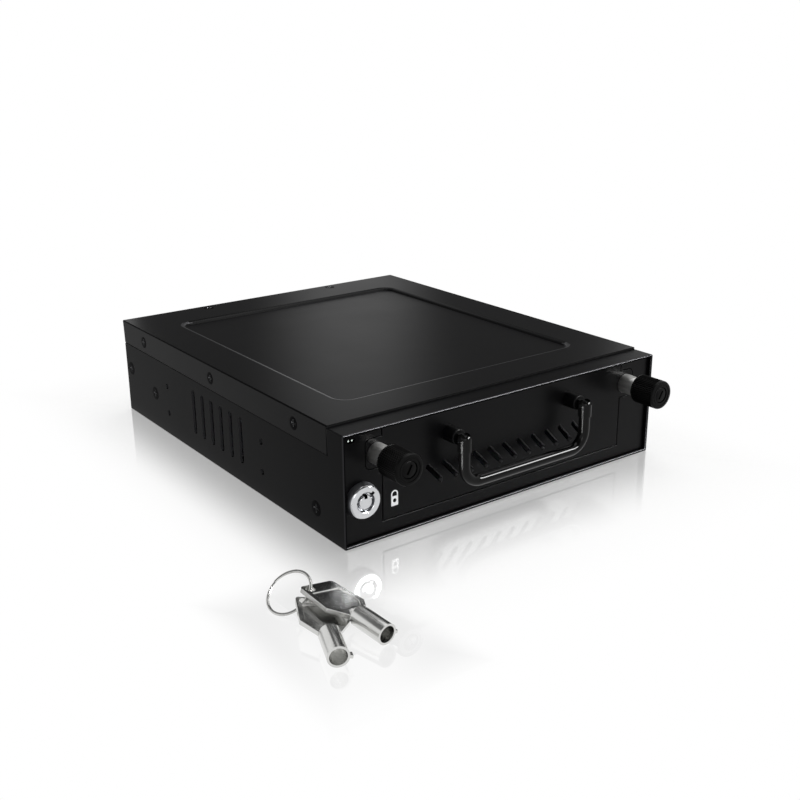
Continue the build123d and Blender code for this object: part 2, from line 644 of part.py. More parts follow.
def make_strip():
    """The right-hand slide strip, with a hollow underside and a sloping lead-in."""
    top = TRAY_FLOOR - STRIP_CLEARANCE
    inner = RAIL_INNER - STRIP_WIDTH
    front = deep(STRIP_FRONT)
    rear = BOARD_FRONT - SHEET
    strip = block(inner, RAIL_INNER, front, rear, SHEET, top)
    strip = chamfer(strip.edges().filter_by(Axis.X).group_by(Axis.Z)[-1].group_by(Axis.Y)[0], STRIP_ROOF / 2)
    middle = (inner + RAIL_INNER) / 2
    wall = (STRIP_WIDTH - STRIP_GROOVE_WIDTH) / 2
    return strip - block(middle - STRIP_GROOVE_WIDTH / 2, middle + STRIP_GROOVE_WIDTH / 2,
                         front + wall, rear - wall, SHEET, top - STRIP_ROOF)


def make_nut():
    """A threaded insert pressed into the rail's front ear."""
    bore = THUMB_SCREW_RADIUS + FIT_GAP
    outline = [(bore, PLATE_BACK), (NUT_SPIGOT_RADIUS, PLATE_BACK), (NUT_SPIGOT_RADIUS, PLATE_BACK + SHEET),
               (NUT_RADIUS, PLATE_BACK + SHEET), (NUT_RADIUS, NUT_BACK), (bore, NUT_BACK)]
    return turned_y(outline, KNOB_X, GRIP_HEIGHT)


# Backplane and its sockets

def make_board():
    board = block(-BOARD_HALF, BOARD_HALF, BOARD_FRONT, BOARD_BACK, BOARD_LOW, BOARD_TOP)
    board -= bar_y(FAN_AIR_HOLE_RADIUS, BOARD_FRONT - SHEET, BOARD_BACK + SHEET, FAN_X, FAN_Z)
    return board - [bar_y(SCREW_RADIUS + SCREW_GAP, BOARD_FRONT - SHEET, BOARD_BACK + SHEET, x, z)
                    for x, z in board_screw_places()]


def make_board_screws():
    return group(facing(pan_screw(SCREW_LENGTH - SCREW_GAP), (x, BOARD_BACK, z), REARWARD)
                 for x, z in board_screw_places())


def make_drive_socket():
    """The long socket that meets the drive, with one short and one long mouth."""
    left = SOCKET_X - SOCKET_WIDTH / 2
    front = BOARD_FRONT - SOCKET_LENGTH
    socket = block(left, left + SOCKET_WIDTH, front, BOARD_FRONT, SOCKET_LOW, SOCKET_LOW + SOCKET_HEIGHT)
    split = left + SOCKET_WALL + SOCKET_SHORT_WIDTH
    mouths = [(left + SOCKET_WALL, split), (split + SOCKET_WALL, left + SOCKET_WIDTH - SOCKET_WALL)]
    for x0, x1 in mouths:
        socket -= block(x0, x1, front, BOARD_FRONT - SOCKET_WALL,
                        SOCKET_LOW + SOCKET_WALL, SOCKET_LOW + SOCKET_HEIGHT - SOCKET_WALL)
        blade_z = SOCKET_LOW + SOCKET_HEIGHT / 2
        socket += block(x0 + SOCKET_WALL, x1 - SOCKET_WALL, front + SOCKET_WALL, BOARD_FRONT,
                        blade_z - SOCKET_WALL / 2, blade_z + SOCKET_WALL / 2)
    return socket


def make_data_socket():
    """The data socket, with a keyed blade inside its mouth."""
    socket = rear_socket(DATA_X, DATA_WIDTH, DATA_HEIGHT, 0)
    half_width = DATA_WIDTH / 2 - SOCKET_WALL
    half_height = DATA_HEIGHT / 2 - SOCKET_WALL
    floor = BOARD_BACK + SOCKET_WALL
    socket -= block(DATA_X - half_width, DATA_X + half_width, floor, BACK,
                    REAR_SOCKET_Z - half_height, REAR_SOCKET_Z + half_height)
    blade = half_width - SOCKET_WALL
    socket += block(DATA_X - blade, DATA_X + blade, floor, BACK - SOCKET_WALL,
                    REAR_SOCKET_Z - SOCKET_WALL / 2, REAR_SOCKET_Z + SOCKET_WALL / 2)
    return socket + block(DATA_X + blade - SOCKET_WALL, DATA_X + blade, floor, BACK - SOCKET_WALL,
                          REAR_SOCKET_Z - 1.5 * SOCKET_WALL, REAR_SOCKET_Z + SOCKET_WALL / 2)


def make_power_socket():
    """The four-pin power socket's shroud, with two bevelled corners that key the plug."""
    shroud = rear_socket(POWER_X, POWER_WIDTH, POWER_HEIGHT, 0)
    half_width = POWER_WIDTH / 2 - SOCKET_WALL
    half_height = POWER_HEIGHT / 2 - SOCKET_WALL
    hollow = block(POWER_X - half_width, POWER_X + half_width, BOARD_BACK + SOCKET_WALL, BACK,
                   REAR_SOCKET_Z - half_height, REAR_SOCKET_Z + half_height)
    hollow = chamfer(hollow.edges().filter_by(Axis.Y).group_by(Axis.Z)[-1], 2 * SOCKET_WALL)
    holes = [bar_y(PIN_RADIUS + FIT_GAP, BOARD_BACK, BACK, x, REAR_SOCKET_Z) for x in pin_places()]
    return shroud - hollow - holes


def pin_places():
    """X of the power socket's pins."""
    return [POWER_X + (i - (PIN_COUNT - 1) / 2) * PIN_PITCH for i in range(PIN_COUNT)]


def make_power_pins():
    """Round pins with rounded tips, standing on the board."""
    tip = BACK - 2 * SOCKET_WALL
    pins = []
    for x in pin_places():
        pin = bar_y(PIN_RADIUS, BOARD_BACK, tip, x, REAR_SOCKET_Z)
        pins.append(chamfer(pin.edges().group_by(Axis.Y)[-1], PIN_RADIUS / 2))
    return group(pins)


# Fan

def make_fan_frame():
    """Square frame with a round duct, a motor base at the front, and three struts that carry it."""
    outline = RectangleRounded(FAN_SIZE, FAN_SIZE, FAN_CORNER) - Circle(FAN_BORE_RADIUS)
    step = FAN_HOLE_PITCH / 2
    for i in (-1, 1):
        for j in (-1, 1):
            outline -= Pos(i * step, j * step) * Circle(FAN_HOLE_RADIUS)
    frame = upright_face(Pos(FAN_X, FAN_Z) * outline, FAN_FRONT, REAR_INNER)
    base = Circle(FAN_HUB_RADIUS)
    reach = FAN_BORE_RADIUS + FAN_TIP_GAP
    for i in range(FAN_STRUT_COUNT):
        turn = Rot(0, 0, 360 / FAN_STRUT_COUNT * i + 90)
        base += turn * Pos(reach / 2, 0) * Rectangle(reach, FAN_STRUT_WIDTH)
    frame += upright_face(Pos(FAN_X, FAN_Z) * base, FAN_FRONT, FAN_FRONT + FAN_BASE_THICK)
    return frame - bar_y(FAN_SHAFT_RADIUS + RUN_GAP, FAN_FRONT - SHEET, REAR_INNER, FAN_X, FAN_Z)


def make_fan_rotor():
    """Hub cup on a shaft, with blades that twist from root to tip."""
    hub_front = FAN_FRONT + FAN_BASE_THICK + FAN_TIP_GAP
    hub_back = REAR_INNER - FAN_TIP_GAP
    rotor = bar_y(FAN_HUB_RADIUS, hub_front, hub_back, 0, 0)
    rotor = fillet(rotor.edges().group_by(Axis.Y)[-1], FAN_TIP_GAP)
    rotor += bar_y(FAN_SHAFT_RADIUS, FAN_FRONT, hub_front + FAN_TIP_GAP, 0, 0)
    tip = FAN_BORE_RADIUS - FAN_TIP_GAP
    middle = (hub_front + hub_back) / 2
    height = hub_back - hub_front - 2 * FAN_TIP_GAP
    sections = []
    ends = [(FAN_HUB_RADIUS - FAN_BLADE_THICK, FAN_ROOT_PITCH), (tip + FAN_TIP_GAP, FAN_TIP_PITCH)]
    for radius, pitch in ends:
        plane = Plane(origin=(radius, middle, 0), x_dir=(0, 1, 0), z_dir=(1, 0, 0))
        chord = height / math.sin(math.radians(FAN_ROOT_PITCH))
        sections.append(plane * Rot(0, 0, 90 - pitch) * Rectangle(chord, FAN_BLADE_THICK))
    blade = loft(sections, ruled=True) & bar_y(tip, hub_front, hub_back, 0, 0)
    for i in range(FAN_BLADE_COUNT):
        rotor += Rot(0, 360 / FAN_BLADE_COUNT * i, 0) * blade
    return Pos(FAN_X, 0, FAN_Z) * rotor


def make_fan_screws():
    screw = screw_shape(LID_HEAD_RADIUS, SCREW_LENGTH)
    return group(facing(screw, p, REARWARD) for p in fan_hole_places(BACK))


# Lock

def make_lock_body():
    """Tapered collar and barrel, with the ring-shaped keyway and the slot that takes the key's nub."""
    keyway_end = LOCK_FACE + LOCK_KEYWAY_DEPTH
    spindle_bore = LOCK_SPINDLE_RADIUS + RUN_GAP
    groove_end = PLATE_BACK + CLIP_THICK + FIT_GAP
    outline = [(LOCK_KEYWAY_RADIUS, LOCK_FACE), (LOCK_FACE_RADIUS - EDGE_ROUND, LOCK_FACE),
               (LOCK_FACE_RADIUS, LOCK_FACE + EDGE_ROUND), (LOCK_BASE_RADIUS, PLATE_FRONT),
               (LOCK_BARREL_RADIUS, PLATE_FRONT), (LOCK_BARREL_RADIUS, PLATE_BACK),
               (LOCK_GROOVE_RADIUS, PLATE_BACK), (LOCK_GROOVE_RADIUS, groove_end),
               (LOCK_BARREL_RADIUS, groove_end), (LOCK_BARREL_RADIUS, LOCK_END),
               (spindle_bore, LOCK_END), (spindle_bore, keyway_end), (LOCK_KEYWAY_RADIUS, keyway_end)]
    body = turned_y(outline, LOCK_X, LOCK_Z)
    slot = block(0, LOCK_KEYWAY_RADIUS + KEY_NUB, LOCK_FACE, keyway_end - LOCK_FLANGE_THICK,
                 -LOCK_NOTCH_WIDTH / 2, LOCK_NOTCH_WIDTH / 2)
    return body - Pos(LOCK_X, 0, LOCK_Z) * Rot(0, -LOCK_NUB_TURN, 0) * slot


def make_lock_clip():
    """Flat horseshoe clip that sits in the barrel's groove behind the front plate."""
    inner = LOCK_GROOVE_RADIUS + SCREW_GAP
    outer = inner + CLIP_LEG
    clip = Rectangle(2 * outer, CLIP_HEIGHT) - Circle(inner)
    clip -= Pos(0, CLIP_HEIGHT / 2) * Rectangle(2 * inner, CLIP_HEIGHT)
    return upright_face(Pos(LOCK_X, LOCK_Z) * clip, PLATE_BACK, PLATE_BACK + CLIP_THICK)


def make_lock_plug():
    """Centre post, flange, spindle and square tang, with a notch at the top of the post."""
    flange_back = LOCK_FACE + LOCK_KEYWAY_DEPTH - FIT_GAP
    flange_front = flange_back - LOCK_FLANGE_THICK
    face = LOCK_FACE + FIT_GAP
    outline = [(0, face), (LOCK_POST_RADIUS, face), (LOCK_POST_RADIUS, flange_front),
               (LOCK_KEYWAY_RADIUS - RUN_GAP, flange_front), (LOCK_KEYWAY_RADIUS - RUN_GAP, flange_back),
               (LOCK_SPINDLE_RADIUS, flange_back), (LOCK_SPINDLE_RADIUS, LOCK_END), (0, LOCK_END)]
    plug = turned_y(outline, LOCK_X, LOCK_Z)
    half = LOCK_TANG / 2
    plug += block(LOCK_X - half, LOCK_X + half, LOCK_END - SHEET, CAM_BACK, LOCK_Z - half, LOCK_Z + half)
    plug -= block(LOCK_X - LOCK_NOTCH_WIDTH / 2, LOCK_X + LOCK_NOTCH_WIDTH / 2, LOCK_FACE, flange_front,
                  LOCK_Z + LOCK_POST_RADIUS - LOCK_NOTCH_WIDTH, LOCK_Z + LOCK_POST_RADIUS)
    return plug - bar_y(SCREW_RADIUS + SCREW_GAP, CAM_BACK - SCREW_LENGTH, CAM_BACK, LOCK_X, LOCK_Z)


def make_lock_cam():
    """Cam blade on the plug's square tang, which points up when the lock is open."""
    tip = Pos(0, CAM_REACH - CAM_TIP_RADIUS) * Circle(CAM_TIP_RADIUS)
    blade = make_hull((Circle(CAM_HUB_RADIUS) + tip).edges())
    blade -= Rectangle(LOCK_TANG + 2 * SCREW_GAP, LOCK_TANG + 2 * SCREW_GAP)
    return upright_face(Pos(LOCK_X, LOCK_Z) * blade, CAM_FRONT, CAM_BACK)


def make_cam_screw():
    return facing(pan_screw(SCREW_LENGTH - SCREW_GAP), (LOCK_X, CAM_BACK + SCREW_GAP, LOCK_Z), REARWARD)


# Status lamps

def lamp_places():
    """X of the two lamps."""
    return [LAMP_X - LAMP_PITCH / 2, LAMP_X + LAMP_PITCH / 2]


def make_lamp_holder():
    half_width = LAMP_HOLDER_WIDTH / 2
    half_height = LAMP_HOLDER_HEIGHT / 2
    holder = block(LAMP_X - half_width, LAMP_X + half_width, PLATE_BACK, PLATE_BACK + LAMP_HOLDER_LENGTH,
                   LAMP_Z - half_height, LAMP_Z + half_height)
    return holder - [bar_y(LAMP_RADIUS + SCREW_GAP, FRONT, BACK, x, LAMP_Z) for x in lamp_places()]


def make_lamp_lenses():
    """Two light pipes with rounded fronts."""
    front = PLATE_FRONT + LAMP_SET_BACK
    lenses = []
    for x in lamp_places():
        lens = bar_y(LAMP_RADIUS, front, PLATE_BACK + LAMP_HOLDER_LENGTH, x, LAMP_Z)
        lenses.append(fillet(lens.edges().group_by(Axis.Y)[0], LAMP_RADIUS / 2))
    return group(lenses)


# Cartridge front and tray

def make_cartridge_front():
    face = Pos(0, (PANEL_LOW + PANEL_TOP) / 2) * Rectangle(2 * PANEL_HALF, PANEL_TOP - PANEL_LOW)
    face += ear_outline(0)
    vent = Rot(0, 0, -FRONT_VENT_SLANT) * SlotOverall(FRONT_VENT_LENGTH, FRONT_VENT_WIDTH)
    for i in range(FRONT_VENT_COUNT):
        x = (i - (FRONT_VENT_COUNT - 1) / 2) * FRONT_VENT_PITCH
        face -= Pos(x, FRONT_VENT_HEIGHT) * vent
    for side in (-1, 1):
        face -= Pos(side * KNOB_X, GRIP_HEIGHT) * Circle(SLEEVE_SPIGOT_RADIUS + SCREW_GAP)
        face -= Pos(side * HANDLE_X, GRIP_HEIGHT) * Circle(SCREW_RADIUS + SCREW_GAP)
    panel = upright_face(face, PLATE_FRONT, PANEL_BACK)
    return panel - [bar_y(SCREW_RADIUS + SCREW_GAP, PANEL_BACK - PANEL_THICK / 2, PANEL_BACK, x, z)
                    for x, z in tray_screw_places()]


def tray_screw_places():
    """X and Z of the screws that hold the cartridge front to the tray's tabs."""
    x = TRAY_HALF - TRAY_SCREW_INSET
    middle = (TRAY_FLOOR + TRAY_TOP) / 2
    return [(i * x, middle + j * TRAY_SCREW_RISE / 2) for i in (-1, 1) for j in (-1, 1)]


def make_tray_screws():
    screw = pan_screw(PANEL_THICK / 2 + SHEET - SCREW_GAP)
    return group(facing(screw, (x, PANEL_BACK + SHEET, z), REARWARD) for x, z in tray_screw_places())


def make_tray():
    """Folded tray: floor with windows, two walls, and two front tabs that carry the cartridge front."""
    front = PANEL_BACK
    floor_top = TRAY_FLOOR + SHEET
    tray = block(-TRAY_HALF, TRAY_HALF, front, TRAY_FLOOR_END, TRAY_FLOOR, floor_top)
    tray += both_sides(block(TRAY_HALF - SHEET, TRAY_HALF, front, TRAY_WALL_END, TRAY_FLOOR, TRAY_TOP))
    tray += both_sides(block(TRAY_HALF - TRAY_TAB_WIDTH, TRAY_HALF, front, front + SHEET,
                             TRAY_FLOOR + TRAY_TAB_RISE / 2, TRAY_TOP - TRAY_TAB_RISE / 2))
    folds = tray.edges().filter_by(Axis.Y).filter_by(lambda e: e.center().Z < TRAY_FLOOR + NEAR)
    tray = fillet(folds.filter_by(lambda e: abs(e.center().X) > TRAY_HALF - NEAR), EDGE_ROUND)
    middle = DRIVE_BACK - DRIVE_HOLE_SETBACK - DRIVE_HOLE_PITCH / 2
    window = RectangleRounded(TRAY_WINDOW_WIDTH, TRAY_WINDOW_LENGTH, TRAY_WINDOW_CORNER)
    for i in range(TRAY_WINDOW_COUNT):
        y = middle + (i - (TRAY_WINDOW_COUNT - 1) / 2) * TRAY_WINDOW_PITCH
        tray -= extrude(Pos(0, y, TRAY_FLOOR - SHEET) * window, 3 * SHEET)
    for i in (-1, 1):
        for j in (-1, 1):
            tray -= bar_z(DRIVE_HOLE_RADIUS, TRAY_FLOOR - SHEET, floor_top + SHEET,
                          i * DRIVE_HOLE_SPAN / 2, middle + j * DRIVE_HOLE_PITCH / 2)
    tray -= [bar_y(SCREW_RADIUS + SCREW_GAP, front - SHEET, front + 2 * SHEET, x, z)
             for x, z in tray_screw_places()]
    return tray - mirror(cam_window(CAM_CLEARANCE, TRAY_HALF - 2 * SHEET, TRAY_HALF + SHEET), Plane.YZ)


# Handle

def make_post():
    """The right-hand post: a round stub with a flat tongue that carries the pivot pin."""
    post = bar_y(POST_RADIUS, POST_END, PLATE_FRONT, HANDLE_X, GRIP_HEIGHT)
    post = fillet(post.edges().group_by(Axis.Y)[0], EDGE_ROUND)
    half = TONGUE_THICK / 2
    post += block(HANDLE_X - half, HANDLE_X + half, PIVOT_Y, POST_END + EDGE_ROUND,
                  GRIP_HEIGHT - TONGUE_HALF, GRIP_HEIGHT + TONGUE_HALF)
    post += bar_x(TONGUE_HALF, HANDLE_X - half, HANDLE_X + half, PIVOT_Y, GRIP_HEIGHT)
    post -= bar_x(PIVOT_RADIUS + RUN_GAP, HANDLE_X - POST_RADIUS, HANDLE_X + POST_RADIUS,
                  PIVOT_Y, GRIP_HEIGHT)
    hole_end = PLATE_FRONT - SCREW_LENGTH
    return post - bar_y(SCREW_RADIUS + SCREW_GAP, hole_end, PLATE_FRONT, HANDLE_X, GRIP_HEIGHT)


def make_post_screws():
    screw = facing(pan_screw(SCREW_LENGTH), (HANDLE_X, PANEL_BACK, GRIP_HEIGHT), REARWARD)
    return group(both_sides(screw))


def make_knuckle():
    """The right-hand knuckle: a domed fork round the post's tongue, with a socket for the bail's end."""
    knuckle = bar_z(KNUCKLE_RADIUS, KNUCKLE_LOW, GRIP_HEIGHT, HANDLE_X, PIVOT_Y)
    knuckle += Pos(HANDLE_X, PIVOT_Y, GRIP_HEIGHT) * Sphere(KNUCKLE_RADIUS)
    knuckle = fillet(knuckle.edges().group_by(Axis.Z)[0], EDGE_ROUND / 2)
    half = TONGUE_THICK / 2 + SLOT_SLACK
    reach = TONGUE_HALF + SLOT_SLACK
    far = 2 * KNUCKLE_RADIUS
    knuckle -= block(HANDLE_X - half, HANDLE_X + half, PIVOT_Y - reach, PIVOT_Y + far,
                     GRIP_HEIGHT - reach, GRIP_HEIGHT + far)
    knuckle -= bar_x(PIVOT_RADIUS + SCREW_GAP / 2, HANDLE_X - far, HANDLE_X + far, PIVOT_Y, GRIP_HEIGHT)
    socket_top = KNUCKLE_LOW + SPIGOT_LENGTH + SCREW_GAP
    return knuckle - bar_z(SPIGOT_RADIUS + SCREW_GAP / 2, KNUCKLE_LOW, socket_top, HANDLE_X, PIVOT_Y)


def make_pins():
    """Pivot pins, flush in the knuckles' sides."""
    half = math.sqrt(KNUCKLE_RADIUS ** 2 - PIVOT_RADIUS ** 2)
    return group(both_sides(bar_x(PIVOT_RADIUS, HANDLE_X - half, HANDLE_X + half, PIVOT_Y, GRIP_HEIGHT)))


def make_bail():
    """Round rod bent to a U, with turned-down ends that go into the knuckles."""
    low = GRIP_HEIGHT - BAIL_DROP
    route = FilletPolyline((-HANDLE_X, PIVOT_Y, KNUCKLE_LOW), (-HANDLE_X, PIVOT_Y, low),
                           (HANDLE_X, PIVOT_Y, low), (HANDLE_X, PIVOT_Y, KNUCKLE_LOW), radius=BAIL_BEND)
    section = Plane(origin=route @ 0, z_dir=route % 0) * Circle(BAIL_RADIUS)
    rod = sweep(section, path=route)
    spigot = bar_z(SPIGOT_RADIUS, KNUCKLE_LOW - SHEET, KNUCKLE_LOW + SPIGOT_LENGTH, HANDLE_X, PIVOT_Y)
    return rod + both_sides(spigot)


# Thumbscrews, right-hand one

def make_sleeve():
    """Bare metal sleeve pressed into the ear, with a pocket for the spring."""
    bore = THUMB_SCREW_RADIUS + RUN_GAP
    pocket = SLEEVE_RADIUS - SLEEVE_WALL
    outline = [(bore, PANEL_BACK), (SLEEVE_SPIGOT_RADIUS, PANEL_BACK), (SLEEVE_SPIGOT_RADIUS, PLATE_FRONT),
               (SLEEVE_RADIUS, PLATE_FRONT), (SLEEVE_RADIUS, SLEEVE_FRONT), (pocket, SLEEVE_FRONT),
               (pocket, SLEEVE_POCKET), (bore, SLEEVE_POCKET)]
    return turned_y(outline, KNOB_X, GRIP_HEIGHT)


def make_knob():
    """Black cap with a straight knurl, a skirt that runs over the sleeve, and a seat for the screw's head."""
    hole = THUMB_SCREW_RADIUS + SCREW_GAP / 2
    seat = THUMB_HEAD_RADIUS + SCREW_GAP
    seat_floor = KNOB_FACE + THUMB_HEAD_RECESS + THUMB_HEAD_THICK
    skirt = SLEEVE_RADIUS + SKIRT_GAP
    outline = [(seat, KNOB_FACE), (KNOB_RADIUS - KNOB_EDGE, KNOB_FACE), (KNOB_RADIUS, KNOB_FACE + KNOB_EDGE),
               (KNOB_RADIUS, KNOB_END - KNOB_EDGE), (KNOB_RADIUS - KNOB_EDGE, KNOB_END), (skirt, KNOB_END),
               (skirt, SKIRT_FLOOR), (hole, SKIRT_FLOOR), (hole, seat_floor), (seat, seat_floor)]
    knob = turned_y(outline, 0, 0)
    flute = bar_y(KNOB_FLUTE_RADIUS, KNOB_FACE, KNOB_END, KNOB_RADIUS, 0)
    knob -= [Rot(0, 360 / KNOB_FLUTE_COUNT * i, 0) * flute for i in range(KNOB_FLUTE_COUNT)]
    return Pos(KNOB_X, 0, GRIP_HEIGHT) * knob


def make_thumb_screw():
    """Slotted screw, its head seated in the knob's face."""
    head_front = KNOB_FACE + THUMB_HEAD_RECESS
    head_back = head_front + THUMB_HEAD_THICK
    outline = [(0, head_front), (THUMB_HEAD_RADIUS, head_front), (THUMB_HEAD_RADIUS, head_back),
               (THUMB_SCREW_RADIUS, head_back), (THUMB_SCREW_RADIUS, THUMB_TIP - THUMB_TIP_CHAMFER),
               (THUMB_SCREW_RADIUS - THUMB_TIP_CHAMFER, THUMB_TIP), (0, THUMB_TIP)]
    screw = turned_y(outline, 0, 0)
    slot = block(-THUMB_SLOT_LENGTH / 2, THUMB_SLOT_LENGTH / 2, head_front, head_front + THUMB_SLOT_DEPTH,
                 -THUMB_SLOT_WIDTH / 2, THUMB_SLOT_WIDTH / 2)
    return Pos(KNOB_X, 0, GRIP_HEIGHT) * (screw - Rot(0, -THUMB_SLOT_TURN, 0) * slot)


def make_spring():
    """Coil spring between the sleeve's pocket and the knob's skirt, with flats for round wire."""
    radius = (THUMB_SCREW_RADIUS + SLEEVE_RADIUS - SLEEVE_WALL) / 2
    start = SKIRT_FLOOR + SPRING_WIRE + FIT_GAP
    length = SLEEVE_POCKET - SPRING_WIRE - FIT_GAP - start
    coil = Helix(length / SPRING_TURNS, length, radius)
    section = Plane(origin=coil @ 0, z_dir=coil % 0) * RegularPolygon(SPRING_WIRE, SPRING_FLATS)
    wire = sweep(section, path=coil, is_frenet=True)
    return Pos(KNOB_X, start, GRIP_HEIGHT) * Rot(-90, 0, 0) * wire


# Keys and their ring

def ring_plane():
    """The ring's own plane, leaning over the floor with its low side on it."""
    lean = math.radians(RING_TILT)
    turn = math.radians(RING_TURN)
    normal = (math.sin(lean) * math.cos(turn), math.sin(lean) * math.sin(turn), math.cos(lean))
    middle = (-HALF - RING_SIDE, FRONT - RING_AHEAD, RING_WIRE + FIT_GAP + RING_RADIUS * math.sin(lean))
    return Plane(origin=middle, x_dir=(-normal[1], normal[0], 0), z_dir=normal)


def make_ring():
    return ring_plane().location * Torus(RING_RADIUS, RING_WIRE)


def key_hole():
    """The ring hole's middle on the bow, in the key's own frame."""
    return KEY_HOLE_INSET - KEY_BOW_END_WIDTH / 2, KEY_BOW_LENGTH - KEY_HOLE_INSET


def key_shape():
    """A tubular key along Y with its mouth at -Y and a flat bow, which has a sunk panel in both faces."""
    end, wide, neck = KEY_BOW_END_WIDTH / 2, KEY_BOW_WIDTH / 2, KEY_TUBE_RADIUS
    outline = make_face(Polyline((-neck, 0), (neck, 0), (wide, KEY_BOW_TAPER), (end, KEY_BOW_LENGTH),
                                 (-end, KEY_BOW_LENGTH), (-wide, KEY_BOW_TAPER), close=True))
    outline = fillet(outline.vertices().filter_by(lambda v: v.Y > NEAR), KEY_BOW_CORNER)
    hole_x, hole_y = key_hole()
    panel_near = KEY_ROOT_LENGTH + KEY_BORDER / 2
    panel_far = hole_y - KEY_HOLE_RADIUS - KEY_BORDER / 2
    band = Pos(0, (panel_near + panel_far) / 2) * Rectangle(KEY_BOW_WIDTH, panel_far - panel_near)
    panel = offset(outline, -KEY_BORDER) & band
    half = KEY_BOW_THICK / 2
    key = extrude(Pos(0, 0, -half) * (outline - Pos(hole_x, hole_y) * Circle(KEY_HOLE_RADIUS)), KEY_BOW_THICK)
    for z in (-half, half - KEY_PANEL_DEPTH):
        key -= extrude(Pos(0, 0, z) * panel, KEY_PANEL_DEPTH)
    bore_end = KEY_BORE_DEPTH - KEY_TUBE_LENGTH
    tube = [(0, KEY_ROOT_LENGTH), (KEY_ROOT_RADIUS, KEY_ROOT_LENGTH), (KEY_TUBE_RADIUS, 0),
            (KEY_TUBE_RADIUS, -KEY_TUBE_LENGTH), (KEY_BORE_RADIUS, -KEY_TUBE_LENGTH),
            (KEY_BORE_RADIUS, bore_end), (0, bore_end)]
    key += turned_y(tube, 0, 0)
    nub_half = LOCK_NOTCH_WIDTH / 2 - FIT_GAP
    return key + block((KEY_BORE_RADIUS + KEY_TUBE_RADIUS) / 2, KEY_TUBE_RADIUS + KEY_NUB, -KEY_TUBE_LENGTH,
                       KEY_NUB_LENGTH - KEY_TUBE_LENGTH, -nub_half, nub_half)


def make_key(angle, turn):
    """A key hung on the ring at an angle round it, turned by its pitch, roll and heading."""
    pitch, roll, heading = turn
    place = math.radians(angle)
    on_wire = Pos(RING_RADIUS * math.cos(place), RING_RADIUS * math.sin(place), 0)
    hole_x, hole_y = key_hole()
    hang = Pos((ring_plane().location * on_wire).position)
    aim = Rot(0, 0, heading) * Rot(pitch, 0, 0) * Rot(0, roll, 0)
    return hang * aim * Pos(-hole_x, -hole_y, 0) * key_shape()


# Every node and its solid

def build():
    lid_screw = screw_shape(LID_HEAD_RADIUS, SCREW_LENGTH)
    nodes = {
        "case": make_case(),
        "lid": make_lid(),
        "lid_side_screws": side_screws(LID_SIDE_PLACES, LID_HEAD_RADIUS),
        "lid_rear_screws": group(facing(lid_screw, p, UP) for p in LID_REAR_PLACES),
        "case_side_screws": side_screws(CASE_PLACES, CASE_HEAD_RADIUS),
        "front_plate": make_front_plate(),
        "rear_panel": make_rear_panel(),
        "thumb_nuts": group(both_sides(make_nut())),
        "backplane_board": make_board(),
        "backplane_screws": make_board_screws(),
        "drive_socket": make_drive_socket(),
        "data_socket": make_data_socket(),
        "power_socket": make_power_socket(),
        "power_pins": make_power_pins(),
        "fan_frame": make_fan_frame(),
        "fan_rotor": make_fan_rotor(),
        "fan_screws": make_fan_screws(),
        "lock_body": make_lock_body(),
        "lock_clip": make_lock_clip(),
        "lock_plug": make_lock_plug(),
        "lock_cam": make_lock_cam(),
        "lock_cam_screw": make_cam_screw(),
        "lamp_holder": make_lamp_holder(),
        "lamp_lenses": make_lamp_lenses(),
        "cartridge_front": make_cartridge_front(),
        "tray": make_tray(),
        "tray_screws": make_tray_screws(),
        "handle_post_screws": make_post_screws(),
        "bail_rod": make_bail(),
        "bail_pins": make_pins(),
        "key_lower": make_key(LOWER_KEY_ANGLE, LOWER_KEY_TURN),
        "key_upper": make_key(UPPER_KEY_ANGLE, UPPER_KEY_TURN),
        "key_ring": make_ring(),
    }
    mirrored = {
        "guide_rail": make_rail(),
        "slide_strip": make_strip(),
        "handle_post": make_post(),
        "bail_knuckle": make_knuckle(),
    }
    for name, solid in mirrored.items():
        nodes[name + "_right"], nodes[name + "_left"] = both_sides(solid)
    repeated = {
        "thumb_sleeve": make_sleeve(),
        "thumb_knob": make_knob(),
        "thumb_screw": make_thumb_screw(),
        "thumb_spring": make_spring(),
    }
    for name, solid in repeated.items():
        nodes[name + "_right"] = solid
        nodes[name + "_left"] = Pos(-2 * KNOB_X, 0, 0) * solid
    return nodes


os.makedirs("parts", exist_ok=True)
for node, shape in build().items():
    export_step(shape, f"parts/{node}.step")
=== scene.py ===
"""Looks for a hot swap drive cage: painted steel, lock, handle, thumbscrews, keys and a white studio."""
import json
from math import cos, hypot, pi, radians, sin

import bmesh
import bpy
from mathutils import Matrix, Vector

